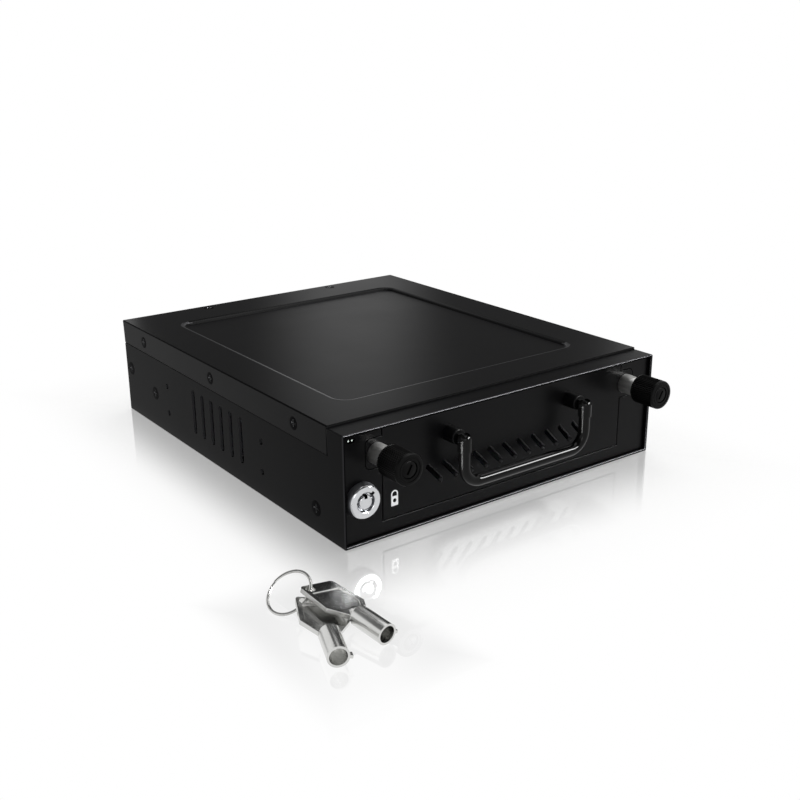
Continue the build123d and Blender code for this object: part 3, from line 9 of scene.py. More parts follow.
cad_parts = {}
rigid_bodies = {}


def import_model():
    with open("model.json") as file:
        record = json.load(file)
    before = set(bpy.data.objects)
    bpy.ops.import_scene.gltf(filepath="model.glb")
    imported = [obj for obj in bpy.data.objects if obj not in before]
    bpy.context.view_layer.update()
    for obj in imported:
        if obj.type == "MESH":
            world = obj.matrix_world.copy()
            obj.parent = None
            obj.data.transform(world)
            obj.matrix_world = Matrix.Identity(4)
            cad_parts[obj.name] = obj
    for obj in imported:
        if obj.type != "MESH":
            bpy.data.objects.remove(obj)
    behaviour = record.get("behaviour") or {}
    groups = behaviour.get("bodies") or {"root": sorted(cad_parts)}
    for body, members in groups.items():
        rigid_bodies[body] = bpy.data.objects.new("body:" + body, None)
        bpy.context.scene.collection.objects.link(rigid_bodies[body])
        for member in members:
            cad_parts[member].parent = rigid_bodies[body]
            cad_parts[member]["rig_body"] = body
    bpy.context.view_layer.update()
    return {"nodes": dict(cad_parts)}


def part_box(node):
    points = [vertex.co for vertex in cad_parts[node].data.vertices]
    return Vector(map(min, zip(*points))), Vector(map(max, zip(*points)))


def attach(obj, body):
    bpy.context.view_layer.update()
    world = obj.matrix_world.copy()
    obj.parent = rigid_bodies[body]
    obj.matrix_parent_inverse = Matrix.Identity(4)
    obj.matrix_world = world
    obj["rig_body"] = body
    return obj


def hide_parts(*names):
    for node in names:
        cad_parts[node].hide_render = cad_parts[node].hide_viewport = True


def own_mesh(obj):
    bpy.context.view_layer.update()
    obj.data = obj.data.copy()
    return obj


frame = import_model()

bl_info = {
    "name": "Drive Cage Looks",
    "version": (1, 0, 0),
    "blender": (4, 5, 0),
    "location": "View3D > Sidebar > Drive Cage",
    "description": "Dresses a packed drive cage with detailed pieces, finishes and a studio",
    "category": "Object",
}

NODES = frame["nodes"]
MM = 0.001
SIDES = ("left", "right")
RIGHT = Vector((1, 0, 0))
REARWARD = Vector((0, 1, 0))
UP = Vector((0, 0, 1))
SHARP = radians(32)
FLAT = radians(0.5)
WELD = 0.001 * MM
WHITE = (1, 1, 1, 1)
# Sockets of a Mix node for numbers and for colours, and its colour output.
NUMBER_A, NUMBER_B, COLOUR_A, COLOUR_B, COLOUR_OUT = 2, 3, 6, 7, 2
# A noise lies mostly between these.
NOISE_LOW, NOISE_HIGH = 0.3, 0.7
# Stretches a relief into rings round the Y axis.
RINGS = (0.2, 3, 0.2)
FINISHES = {}


# Colours and nodes

def linear(code):
    """A hex sRGB colour as linear red, green, blue and full alpha."""
    parts = [int(code[i:i + 2], 16) / 255 for i in (1, 3, 5)]
    return tuple(p / 12.92 if p <= 0.04045 else ((p + 0.055) / 1.055) ** 2.4 for p in parts) + (1.0,)


def join(tree, node, links):
    """Give a node's sockets plain values, outputs of other nodes, or other nodes for their first output."""
    for socket, value in links.items():
        if isinstance(value, bpy.types.Node):
            value = value.outputs[0]
        if isinstance(value, bpy.types.NodeSocket):
            tree.links.new(value, node.inputs[socket])
        else:
            node.inputs[socket].default_value = value


def add(tree, kind, links=None, **settings):
    """Add a shader node with its settings, and join its sockets."""
    node = tree.nodes.new("ShaderNode" + kind)
    for name, value in settings.items():
        setattr(node, name, value)
    join(tree, node, links or {})
    return node


def bare_material(name):
    """A material with nothing but its output, and its nodes."""
    made = bpy.data.materials.new(name)
    made.use_nodes = True
    made.node_tree.nodes.remove(made.node_tree.nodes["Principled BSDF"])
    return made, made.node_tree


def per_mm(size):
    """Texture scale at which one cell is this many millimetres."""
    return 1 / (size * MM)


def shade(colour, share):
    """A colour made lighter or darker by a share of itself."""
    return tuple(c * (1 + share) for c in colour[:3]) + (1.0,)


# The things a user would change

LENGTH = {"subtype": "DISTANCE", "unit": "LENGTH"}


def colour(name, text, code):
    return bpy.props.FloatVectorProperty(name=name, description=text, subtype="COLOR", size=4, min=0, max=1,
                                         default=linear(code))


def amount(name, text, default, **kind):
    return bpy.props.FloatProperty(name=name, description=text, default=default, min=0, **kind)


def number(name, text, default, least):
    return bpy.props.IntProperty(name=name, description=text, default=default, min=least)


class CageFinishes(bpy.types.PropertyGroup):
    paint: colour("Powder coat", "Satin black coat of the sheet metal", "#070708")
    bail: colour("Handle", "Gloss black of the drop handle", "#010101")
    knob: colour("Knobs", "Black anodised thumbscrew heads", "#060606")
    chrome: colour("Chrome", "Plating of the lock", "#c9cacc")
    nickel: colour("Nickel", "Plating of the keys and sleeves", "#cfcfcd")
    zinc: colour("Zinc", "Plating of the inner sheet metal", "#a9adb0")
    board: colour("Board", "Solder mask of the backplane", "#0f2a1c")
    lamp: colour("Lamps", "Light of the status lamps", "#b9c4bd")
    ink: colour("Ink", "White print on the front", "#f4f5f6")


class CageShapes(bpy.types.PropertyGroup):
    edge: amount("Edge rounding", "Rounding of the painted sheet's edges", 0.42 * MM, **LENGTH)
    knurl_count: number("Knurl count", "Grooves round each knob", 48, 12)
    knurl_depth: amount("Knurl depth", "Depth of a knob's grooves", 0.26 * MM, **LENGTH)
    spring_turns: number("Spring turns", "Turns of each thumbscrew's spring", 7, 3)
    glow: amount("Lamp glow", "Brightness of the status lamps", 1.1)


class CageStage(bpy.types.PropertyGroup):
    mirror: amount("Floor mirror", "Share of mirror in the floor by the case", 0.38, subtype="FACTOR", max=1)
    fade: amount("Mirror fade", "Distance over which the floor's mirror fades", 56 * MM, **LENGTH)
    overhead: amount("Overhead light", "Power of the light above", 10.5, unit="POWER")
    front: amount("Front light", "Power of the light in front", 1.2, unit="POWER")
    strip: amount("Strip card", "Brightness of the strip that edges mirror", 60.0)
    side: amount("Handle light", "Power of the light on the handle's legs", 38.0, unit="POWER")
    sheen: amount("Lid sheen", "Brightness of the card that the lid mirrors", 0.69)


# Finishes

def finish(name, base, rough, grain=1.0, height=0.003, cloud=8.0, tone=0.12, spread=0.05, stretch=(1, 1, 1),
           metal=0.0, specular=0.5):
    """Make a finish and give back its nodes, its shader and the place that its patterns use.

    Its tone and roughness drift over cloud mm, and its relief is grain mm across and height mm deep.
    """
    FINISHES[name] = bpy.data.materials.new(name)
    FINISHES[name].use_nodes = True
    tree = FINISHES[name].node_tree
    place = add(tree, "TexCoord").outputs["Object"]
    drift = add(tree, "TexNoise", {"Vector": place, "Scale": per_mm(cloud), "Detail": 3.0})
    tint = add(tree, "Mix", {0: drift, COLOUR_A: shade(base, -tone), COLOUR_B: shade(base, tone)},
               data_type="RGBA")
    gloss = add(tree, "MapRange", {0: drift, 1: NOISE_LOW, 2: NOISE_HIGH, 3: rough - spread, 4: rough + spread})
    drawn = add(tree, "VectorMath", {0: place, 1: stretch}, operation="MULTIPLY")
    relief = add(tree, "TexNoise", {"Vector": drawn, "Scale": per_mm(grain), "Detail": 2.0})
    bump = add(tree, "Bump", {"Strength": 1.0, "Distance": height * MM, "Height": relief})
    shader = tree.nodes["Principled BSDF"]
    join(tree, shader, {"Base Color": tint.outputs[COLOUR_OUT], "Roughness": gloss, "Normal": bump,
                        "Metallic": metal, "Specular IOR Level": specular})
    return tree, shader, place


def make_finishes(tones, glow):
    """Make every finish. The comments say what each gives the eye."""
    # Polyester powder coat on steel, satin: a soft sheen with a faint orange peel, drawn coarser than life.
    finish("satin_powder_coat", tones.paint, 0.31, cloud=24, spread=0.015, specular=0.08)
    # The case's coat, baked a little duller than the lid's: a weaker sheen on the strip before the lid.
    finish("semi_matt_powder_coat", tones.paint, 0.34, cloud=24, spread=0.015, specular=0.045)
    # A lighter metallic copy of the coat along the folded rim of the lid's recess: a painted highlight, a fine
    # light line.
    finish("recess_rim_painted_highlight", linear("#4c4c4e"), 0.32, metal=0.8)
    # A paler metallic copy of the coat on the faces of the case's mouth that face the light: a painted
    # highlight, a darker light line than the lid's.
    finish("mouth_painted_highlight", linear("#2a2a2c"), 0.34, metal=0.8)
    # A duller copy of the coat on the mouth's faces turned from the light and on the lid's side folds: painted
    # shade, a dark line between two faces.
    finish("fold_painted_shade", tones.paint, 0.5, cloud=24, specular=0.012)
    # A paler, dull copy of the coat on the lid's front end: painted light that lifts that face out of its
    # shade.
    finish("lid_end_painted_light", linear("#232324"), 0.5, specular=0.08)
    # A grey copy of the coat on the walls of the front's punched slots: painted light, so that a slot's far
    # wall shows.
    finish("slot_wall_painted_light", linear("#58585a"), 0.5, specular=0.08)
    # The same painted light on the walls of the case's side slots: a darker grey.
    finish("side_slot_wall_painted_light", linear("#38383a"), 0.5, specular=0.08)
    # Glossy black enamel on a bent rod: a hard bright line along it.
    finish("gloss_black_enamel", tones.bail, 0.09, grain=1.6, height=0.002, cloud=9, spread=0.03, specular=0.13)
    # Black anodised aluminium, turned: a dull sheen with fine rings, drawn wider apart than life.
    finish("black_anodised_aluminium", tones.knob, 0.33, grain=0.5, cloud=5, stretch=RINGS, specular=0.06)
    # Bright chrome plate on a die casting: a near mirror with faint polishing haze.
    finish("bright_chrome_plate", tones.chrome, 0.11, grain=2.2, height=0.002, cloud=4, tone=0.05, spread=0.04,
           metal=1.0)
    # Chrome plate over a turned side that was not polished: dull, with fine rings drawn wider apart than life.
    finish("brushed_chrome_side", linear("#85868a"), 0.45, grain=0.5, height=0.006, cloud=4, tone=0.05,
           spread=0.04, stretch=RINGS, metal=1.0)
    # Nickel plate worn by a pocket: softer than chrome, with short scratches drawn wider than life.
    finish("worn_nickel_plate", tones.nickel, 0.19, grain=0.8, height=0.001, cloud=5, tone=0.08, spread=0.03,
           stretch=(1, 0.2, 1), metal=1.0)
    # Nickel-plated turned steel: dull, with rings left by the tool, drawn wider apart than life.
    finish("turned_nickel_steel", tones.nickel, 0.42, grain=0.9, height=0.005, cloud=6, stretch=(0.15, 2, 0.15),
           metal=1.0)
    # Galvanised sheet: a dull grey metal with a crystal spangle, tone by tone.
    tree, shader, place = finish("galvanised_sheet", tones.zinc, 0.42, grain=1.2, height=0.002, cloud=30,
                                 metal=0.9)
    spangle = add(tree, "TexVoronoi", {"Vector": place, "Scale": per_mm(6.0)}).outputs["Color"]
    tint = add(tree, "Mix", {0: 0.12, COLOUR_A: tree.nodes["Mix"].outputs[COLOUR_OUT], COLOUR_B: spangle},
               data_type="RGBA", blend_type="SOFT_LIGHT")
    join(tree, shader, {"Base Color": tint.outputs[COLOUR_OUT]})
    # Black oxide on steel screws: near black and dull.
    finish("black_oxide_steel", linear("#070708"), 0.34, grain=0.6, height=0.004, cloud=3, specular=0.012)
    # The same steel, paler and more metallic in the cross recesses: painted light that lifts the shade in the
    # deep cross, a paler cross in a dark head.
    finish("screw_cross_painted_light", linear("#6a6a6c"), 0.5, grain=0.6, height=0.004, cloud=3, metal=0.7)
    # Bright zinc on small screws: clean grey metal.
    finish("bright_zinc_screw", linear("#b4b6b8"), 0.26, grain=0.7, height=0.004, cloud=3, metal=1.0)
    # Epoxy board under solder mask: a dark gloss with the raised lines of copper under it.
    tree, shader, place = finish("solder_mask_board", tones.board, 0.3, grain=1.5, cloud=12)
    upright = add(tree, "Mapping", {"Vector": place, "Rotation": (pi / 2, 0, 0)})
    lines = add(tree, "TexBrick", {"Vector": upright, "Scale": per_mm(9.0), "Mortar Size": 0.035,
                                   "Row Height": 0.14, "Color1": shade(tones.board, -0.1),
                                   "Color2": shade(tones.board, 0.1), "Mortar": shade(tones.board, 1.6)})
    join(tree, shader, {"Base Color": lines})
    # Moulded black plastic: matt, from a spark-eroded mould.
    finish("moulded_black_plastic", linear("#0d0d0e"), 0.5, grain=0.5, height=0.006, cloud=14, specular=0.2)
    # Natural nylon of a power plug: milky and slightly waxy.
    finish("natural_nylon", linear("#d9d5c6"), 0.42, grain=0.8, height=0.004, cloud=10, tone=0.05)
    # Natural acetal strip: white, smooth and slippery.
    finish("natural_acetal", linear("#d4d4cf"), 0.32, grain=1.5, height=0.002, cloud=18, tone=0.04)
    # Pad-printed white ink: flat and slightly uneven in tone.
    finish("white_pad_print", tones.ink, 0.55, grain=0.25, height=0.002, cloud=1.2, tone=0.06)
    # Clear acrylic light pipe with its lamp lit: a small even glow.
    tree, shader, _ = finish("lit_light_pipe", tones.lamp, 0.15, height=0.001, cloud=2, tone=0.05)
    join(tree, shader, {"Emission Color": tones.lamp, "Emission Strength": glow})
    # The pipe's unlit side, seen in its dark slot: black with a gloss.
    finish("clear_light_pipe", linear("#101211"), 0.15, height=0.001, cloud=2)
    # Gold flash on socket contacts: a warm bright metal.
    finish("gold_flash", linear("#d8ab55"), 0.25, grain=0.6, height=0.002, cloud=3, tone=0.06, metal=1.0)


# Making pieces

def as_mesh(shape, name):
    """A shape as a mesh of this name. The shape is used up."""
    mesh = bpy.data.meshes.new(name)
    shape.to_mesh(mesh)
    shape.free()
    return mesh


def in_scene(name, data):
    """A new object, put in the scene."""
    made = bpy.data.objects.new(name, data)
    bpy.context.scene.collection.objects.link(made)
    return made


def piece(shape, name, look, *nodes, body=None, smooth=True):
    """Make a shape a piece that stands for CAD nodes and rides on their body."""
    bmesh.ops.recalc_face_normals(shape, faces=shape.faces)
    mesh = as_mesh(shape, name)
    mesh.materials.append(FINISHES[look])
    if smooth:
        mesh.shade_smooth()
        mesh.set_sharp_from_angle(angle=SHARP)
    made = in_scene(name, mesh)
    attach(made, body or NODES[nodes[0]]["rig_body"])
    if nodes:
        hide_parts(*nodes)
    return made


def paint(look, *nodes):
    """Give CAD nodes that stay in view their finish."""
    for node in nodes:
        NODES[node].data.materials.clear()
        NODES[node].data.materials.append(FINISHES[look])


def copied(node):
    """A CAD node's shape with its corners welded."""
    shape = bmesh.new()
    shape.from_mesh(NODES[node].data)
    bmesh.ops.remove_doubles(shape, verts=shape.verts, dist=WELD)
    return shape


def soften(node, name, look, width, marks=(), rounds=()):
    """Replace a CAD node by a copy whose sharp edges are rounded, apart from short ones.

    rounds picks edges, short ones too, for widths of their own.
    marks gives further finishes to the faces that their tests pick.
    """
    shape = copied(node)
    bmesh.ops.dissolve_limit(shape, angle_limit=FLAT, verts=shape.verts, edges=shape.edges)

    def rest(spot):
        return not any(picks(spot) for picks, _ in rounds)

    for picks, reach in (*rounds, (rest, width)):
        shortest = 3 * width if picks is rest else 0
        sharp = [e for e in shape.edges if len(e.link_faces) == 2 and e.calc_face_angle() > SHARP
                 and e.calc_length() > shortest and picks((e.verts[0].co + e.verts[1].co) / 2)]
        if reach:
            bmesh.ops.bevel(shape, geom=sharp, offset=reach, offset_type="OFFSET", segments=5, profile=0.5,
                            affect="EDGES", clamp_overlap=False)
    shape.normal_update()
    for slot, (_, picks) in enumerate(marks, 1):
        for face in shape.faces:
            if picks(face.calc_center_median(), face.normal):
                face.material_index = slot
    made = piece(shape, name, look, node)
    for mark, _ in marks:
        made.data.materials.append(FINISHES[mark])
    made.modifiers.new("even_shading", "WEIGHTED_NORMAL").keep_sharp = True


def eased(outline, radius):
    """A closed outline in metres whose corners off the turning axis are replaced by short curves."""
    on_axis, most, steps = 0.01 * MM, 0.4, 3
    points = []
    for i, corner in enumerate(outline):
        corner = Vector(corner)
        if corner.x < on_axis:
            points.append(corner)
            continue
        start, end = (Vector(outline[k % len(outline)]) - corner for k in (i - 1, i + 1))
        start = corner + start.normalized() * min(radius, most * start.length)
        end = corner + end.normalized() * min(radius, most * end.length)
        for step in range(steps + 1):
            t = step / steps
            points.append(start * (1 - t) ** 2 + corner * 2 * t * (1 - t) + end * t * t)
    return points


def bridge(shape, ring, other):
    """Faces all round between two rings of as many corners."""
    for i in range(len(ring)):
        j = (i + 1) % len(ring)
        shape.faces.new((ring[i], ring[j], other[j], other[i]))


def turned(outline, segments, wave=None):
    """A turned shape about Y from a closed outline of (radius, y). wave changes the radius round the turn."""
    shape = bmesh.new()
    rings = []
    for radius, y in outline:
        ring = []
        for i in range(segments):
            angle = 2 * pi * i / segments
            reach = radius + (wave(angle, radius, y) if wave else 0)
            ring.append(shape.verts.new((reach * cos(angle), y, reach * sin(angle))))
        rings.append(ring)
    for k, ring in enumerate(rings):
        after = (k + 1) % len(rings)
        if outline[k][0] or outline[after][0]:
            bridge(shape, ring, rings[after])
    bmesh.ops.remove_doubles(shape, verts=shape.verts, dist=WELD / 2)
    return shape


def in_mm(rows, start=0.0):
    """Outline points in millimetres, turned to metres. Their second numbers count from a start in metres."""
    return [(radius * MM, start + y * MM) for radius, y in rows]


def moved(shape, place, outward=REARWARD):
    """Put a shape made about Y at a place, with +Y turned outward."""
    turn = REARWARD.rotation_difference(outward).to_matrix().to_4x4()
    shape.transform(Matrix.Translation(place) @ turn)
    return shape


def prism(outline, top, bottom, narrow=1.0):
    """A closed solid between y values top and bottom from an outline in x and z, narrowed at the bottom."""
    shape = bmesh.new()
    rows = [[shape.verts.new((x * share, y, z * share)) for x, z in outline]
            for y, share in ((top, 1.0), (bottom, narrow))]
    shape.faces.new(rows[0])
    shape.faces.new(rows[1][::-1])
    bridge(shape, rows[1], rows[0])
    return shape


def slot_tool(xs, zs, face, depth, turn=0):
    """A slot cutter between two x and two z in mm, depth mm deep from a face's y, turned in degrees."""
    overlap = 0.1 * MM
    outline = in_mm([(xs[0], zs[0]), (xs[1], zs[0]), (xs[1], zs[1]), (xs[0], zs[1])])
    tool = prism(outline, face - overlap, face + depth * MM)
    tool.transform(Matrix.Rotation(radians(turn), 4, "Y"))
    return tool


def cut(shape, tool):
    """Take one closed shape out of another."""
    objects = []
    for part in (shape, tool):
        bmesh.ops.recalc_face_normals(part, faces=part.faces)
        objects.append(in_scene("cut", as_mesh(part, "cut")))
    knife = objects[0].modifiers.new("cut", "BOOLEAN")
    knife.object = objects[1]
    knife.solver = "EXACT"
    bpy.context.view_layer.update()
    result = bmesh.new()
    result.from_mesh(objects[0].evaluated_get(bpy.context.evaluated_depsgraph_get()).to_mesh())
    for made in objects:
        bpy.data.meshes.remove(made.data)
    return result


def joined(shapes):
    """Several shapes as one."""
    whole = bmesh.new()
    for shape in shapes:
        mesh = as_mesh(shape, "part")
        whole.from_mesh(mesh)
        bpy.data.meshes.remove(mesh)
    return whole


def solids(node):
    """Lowest and highest corners of each separate solid in a CAD node."""
    shape = copied(node)
    left = set(shape.verts)
    boxes = []
    while left:
        reached = [left.pop()]
        for vert in reached:
            for edge in vert.link_edges:
                other = edge.other_vert(vert)
                if other in left:
                    left.remove(other)
                    reached.append(other)
        corners = [[v.co[k] for v in reached] for k in range(3)]
        boxes.append((Vector([min(c) for c in corners]), Vector([max(c) for c in corners])))
    shape.free()
    return boxes


def tube(path, radius, sides, lay, flat=1.0):
    """A wire along points with closed ends, round or flattened along the direction lay."""
    shape = bmesh.new()
    rings = []
    for i, point in enumerate(path):
        along = (path[min(i + 1, len(path) - 1)] - path[max(i - 1, 0)]).normalized()
        side = along.cross(lay).normalized()
        rise = side.cross(along)
        ring = []
        for k in range(sides):
            angle = 2 * pi * k / sides
            offset = side * cos(angle) + rise * sin(angle) * flat
            ring.append(shape.verts.new(point + offset * radius))
        rings.append(ring)
    for ring, other in zip(rings, rings[1:]):
        bridge(shape, ring, other)
    shape.faces.new(rings[0][::-1])
    shape.faces.new(rings[-1])
    return shape


def cross_recess(reach, width, depth):
    """A cutter in mm for a cross recess that narrows as it goes down from y 0."""
    overlap, narrow = 0.05 * MM, 0.55
    half = width / 2
    plus = [(half, reach), (-half, reach), (-half, half)]
    for _ in range(3):
        plus += [(-z, x) for x, z in plus[-3:]]
    return prism(in_mm(plus), overlap, -depth * MM, narrow)


def aimed(made, place, way, front):
    """Put an object at a place with its front axis turned a given way."""
    made.matrix_world = Matrix.Translation(place) @ way.to_track_quat(front, "Y").to_matrix().to_4x4()


# Operators

class CAGE_OT_finishes(bpy.types.Operator):
    """Make every finish and give it to the CAD pieces that stay in view"""
    bl_idname = "cage.finishes"
    bl_label = "Finishes"

    def execute(self, context):
        make_finishes(context.scene.cage_finishes, context.scene.cage_shapes.glow)
        paint("satin_powder_coat", *("handle_post_" + s for s in SIDES))
        paint("gloss_black_enamel", "bail_rod", *("bail_knuckle_" + s for s in SIDES))
        paint("bright_zinc_screw", "bail_pins")
        paint("turned_nickel_steel", "thumb_nuts", "power_pins")
        paint("moulded_black_plastic", "fan_rotor", "lamp_holder")
        paint("natural_nylon", "power_socket")
        paint("natural_acetal", *("slide_strip_" + s for s in SIDES))
        paint("lit_light_pipe", "lamp_lenses")
        lenses = NODES["lamp_lenses"].data
        lenses.materials.append(FINISHES["clear_light_pipe"])
        # Only the front face of a lens is lit.
        for face in lenses.polygons:
            face.material_index = int(face.normal.y > -0.95)
        return {"FINISHED"}


class CAGE_OT_sheet_metal(bpy.types.Operator):
    """Painted and galvanised sheet with rounded edges"""
    bl_idname = "cage.sheet_metal"
    bl_label = "Sheet metal"

    def execute(self, context):
        edge = context.scene.cage_shapes.edge
        near, rim, sheet, wall, fold, margin = (d * MM for d in (0.05, 0.5, 0.6, 1.1, 2, 10))
        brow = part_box("case")[0].y
        low, (side, back, top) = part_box("lid")
        front = low.y

        # The tests pick faces by their spot and by the way they look, which is a unit vector.
        def mouth(spot, way):
            return spot.y < brow + rim and way.y < -0.05

        def lit(way):
            return way.z > 0.25 or way.x < -0.25

        # Picks the walls of the side slots for their painted light.
        def side_slot(spot, way):
            return abs(spot.x) > side - wall and way.y < -0.5 and spot.y > brow + margin

        # The mouth's faces that face the light take a painted highlight, the others painted shade.
        soften("case", "painted_case", "semi_matt_powder_coat", edge,
               marks=[("mouth_painted_highlight", lambda spot, way: mouth(spot, way) and lit(way)),
                      ("fold_painted_shade", lambda spot, way: mouth(spot, way) and not lit(way)),
                      ("side_slot_wall_painted_light", side_slot)],
               rounds=[(lambda spot: spot.y < brow + near, edge)])

        def recess(spot):
            return (spot.z > top - near and abs(spot.x) < side - margin
                    and front + margin < spot.y < back - margin)

        def front_outside(spot):
            return spot.y < front + near and (spot.z > top - sheet or abs(spot.x) > side - sheet)

        def front_inside(spot):
            return spot.y < front + near and not front_outside(spot)

        # Picks the rim of the recess for its painted highlight.
        def recess_rim_highlight(spot, way):
            return spot.z > top - sheet and max(way.x, way.y) > 0.05

        # Picks the lid's front end for its painted light.
        def lid_end(spot, way):
            return spot.y < front + near and way.y < -0.9

        # Picks the lid's side folds for their painted shade.
        def lid_fold(spot, way):
            return abs(spot.x) > side - fold and abs(way.x) > 0.1 and way.z > 0.1

        soften("lid", "painted_lid", "satin_powder_coat", edge * 1.3,
               marks=[("recess_rim_painted_highlight", recess_rim_highlight), ("lid_end_painted_light", lid_end),
                      ("fold_painted_shade", lid_fold)],
               rounds=[(recess, 1.0 * MM), (front_outside, edge * 0.7), (front_inside, 0)])
        low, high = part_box("cartridge_front")

        # Picks the walls of the front's slots for their painted light.
        def front_slot(spot, way):
            slanted = abs(way.y) < 0.3 and min(abs(way.x), abs(way.z)) > 0.2
            return slanted and all(low[k] + fold < spot[k] < high[k] - fold for k in (0, 2))

        soften("cartridge_front", "painted_cartridge_front", "satin_powder_coat", edge * 0.6,
               marks=[("slot_wall_painted_light", front_slot)])
        for node in ("front_plate", "rear_panel"):
            soften(node, "painted_" + node, "satin_powder_coat", edge * 0.6)
        for node in ("guide_rail_left", "guide_rail_right", "tray", "lock_clip", "lock_cam"):
            soften(node, "plated_" + node, "galvanised_sheet", edge / 2)
        return {"FINISHED"}


class CAGE_OT_screws(bpy.types.Operator):
    """Countersunk and pan-head screws with cross recesses"""
    bl_idname = "cage.screws"
    bl_label = "Screws"

    def execute(self, context):
        ways = {"lid_rear_screws": UP, "fan_screws": REARWARD}
        for node in ("lid_side_screws", "case_side_screws", "lid_rear_screws", "fan_screws"):
            made = []
            for low, high in solids(node):
                outward = ways.get(node, RIGHT * (1 if low.x > 0 else -1))
                middle, size = (low + high) / 2, high - low
                place = middle + outward * abs(size.dot(outward)) / 2
                head = max(size.x, size.z) / 2 if node == "fan_screws" else size.y / 2
                made.append(moved(self.countersunk(head / MM), place, outward))
            screws = piece(joined(made), "recessed_" + node, "black_oxide_steel", node)
            # The cross recesses take painted light.
            screws.data.materials.append(FINISHES["screw_cross_painted_light"])
        for node in ("backplane_screws", "tray_screws", "handle_post_screws", "lock_cam_screw"):
            made = []
            for low, high in solids(node):
                middle = (low + high) / 2
                place = Vector((middle.x, high.y, middle.z))
                made.append(moved(self.pan(high.x - low.x, high.y - low.y), place))
            piece(joined(made), "recessed_" + node, "bright_zinc_screw", node)
        return {"FINISHED"}

    def countersunk(self, head):
        """A screw with a head of this radius in mm, whose cross has the second finish."""
        shank, end, depth = 1.2, -4.0, 1.1
        rows = in_mm([(0, 0.0), (head - 0.06, 0.0), (head, -0.08), (shank, -0.85), (shank, end), (0, end)])
        reach = head * 0.56
        made = cut(turned(eased(rows, 0.05 * MM), 48), cross_recess(reach, 0.62, depth))
        # The faces of the cross take the painted light.
        for face in made.faces:
            x, y, z = face.calc_center_median() / MM
            face.material_index = int(-depth - 0.05 < y < -0.02 and hypot(x, z) < reach * 1.05)
        return made

    def pan(self, width, length):
        """A screw with a domed head, of this width and length in metres."""
        shank, flange = 1.2, -1.5
        head = width / 2 / MM
        end = -length / MM
        rows = in_mm([(0, 0.0), (head * 0.5, -0.08), (head * 0.84, -0.42), (head, -0.95), (head, flange),
                      (shank, flange), (shank, end), (0, end)])
        return cut(turned(eased(rows, 0.12 * MM), 48), cross_recess(head * 0.56, 0.6, 1.0))


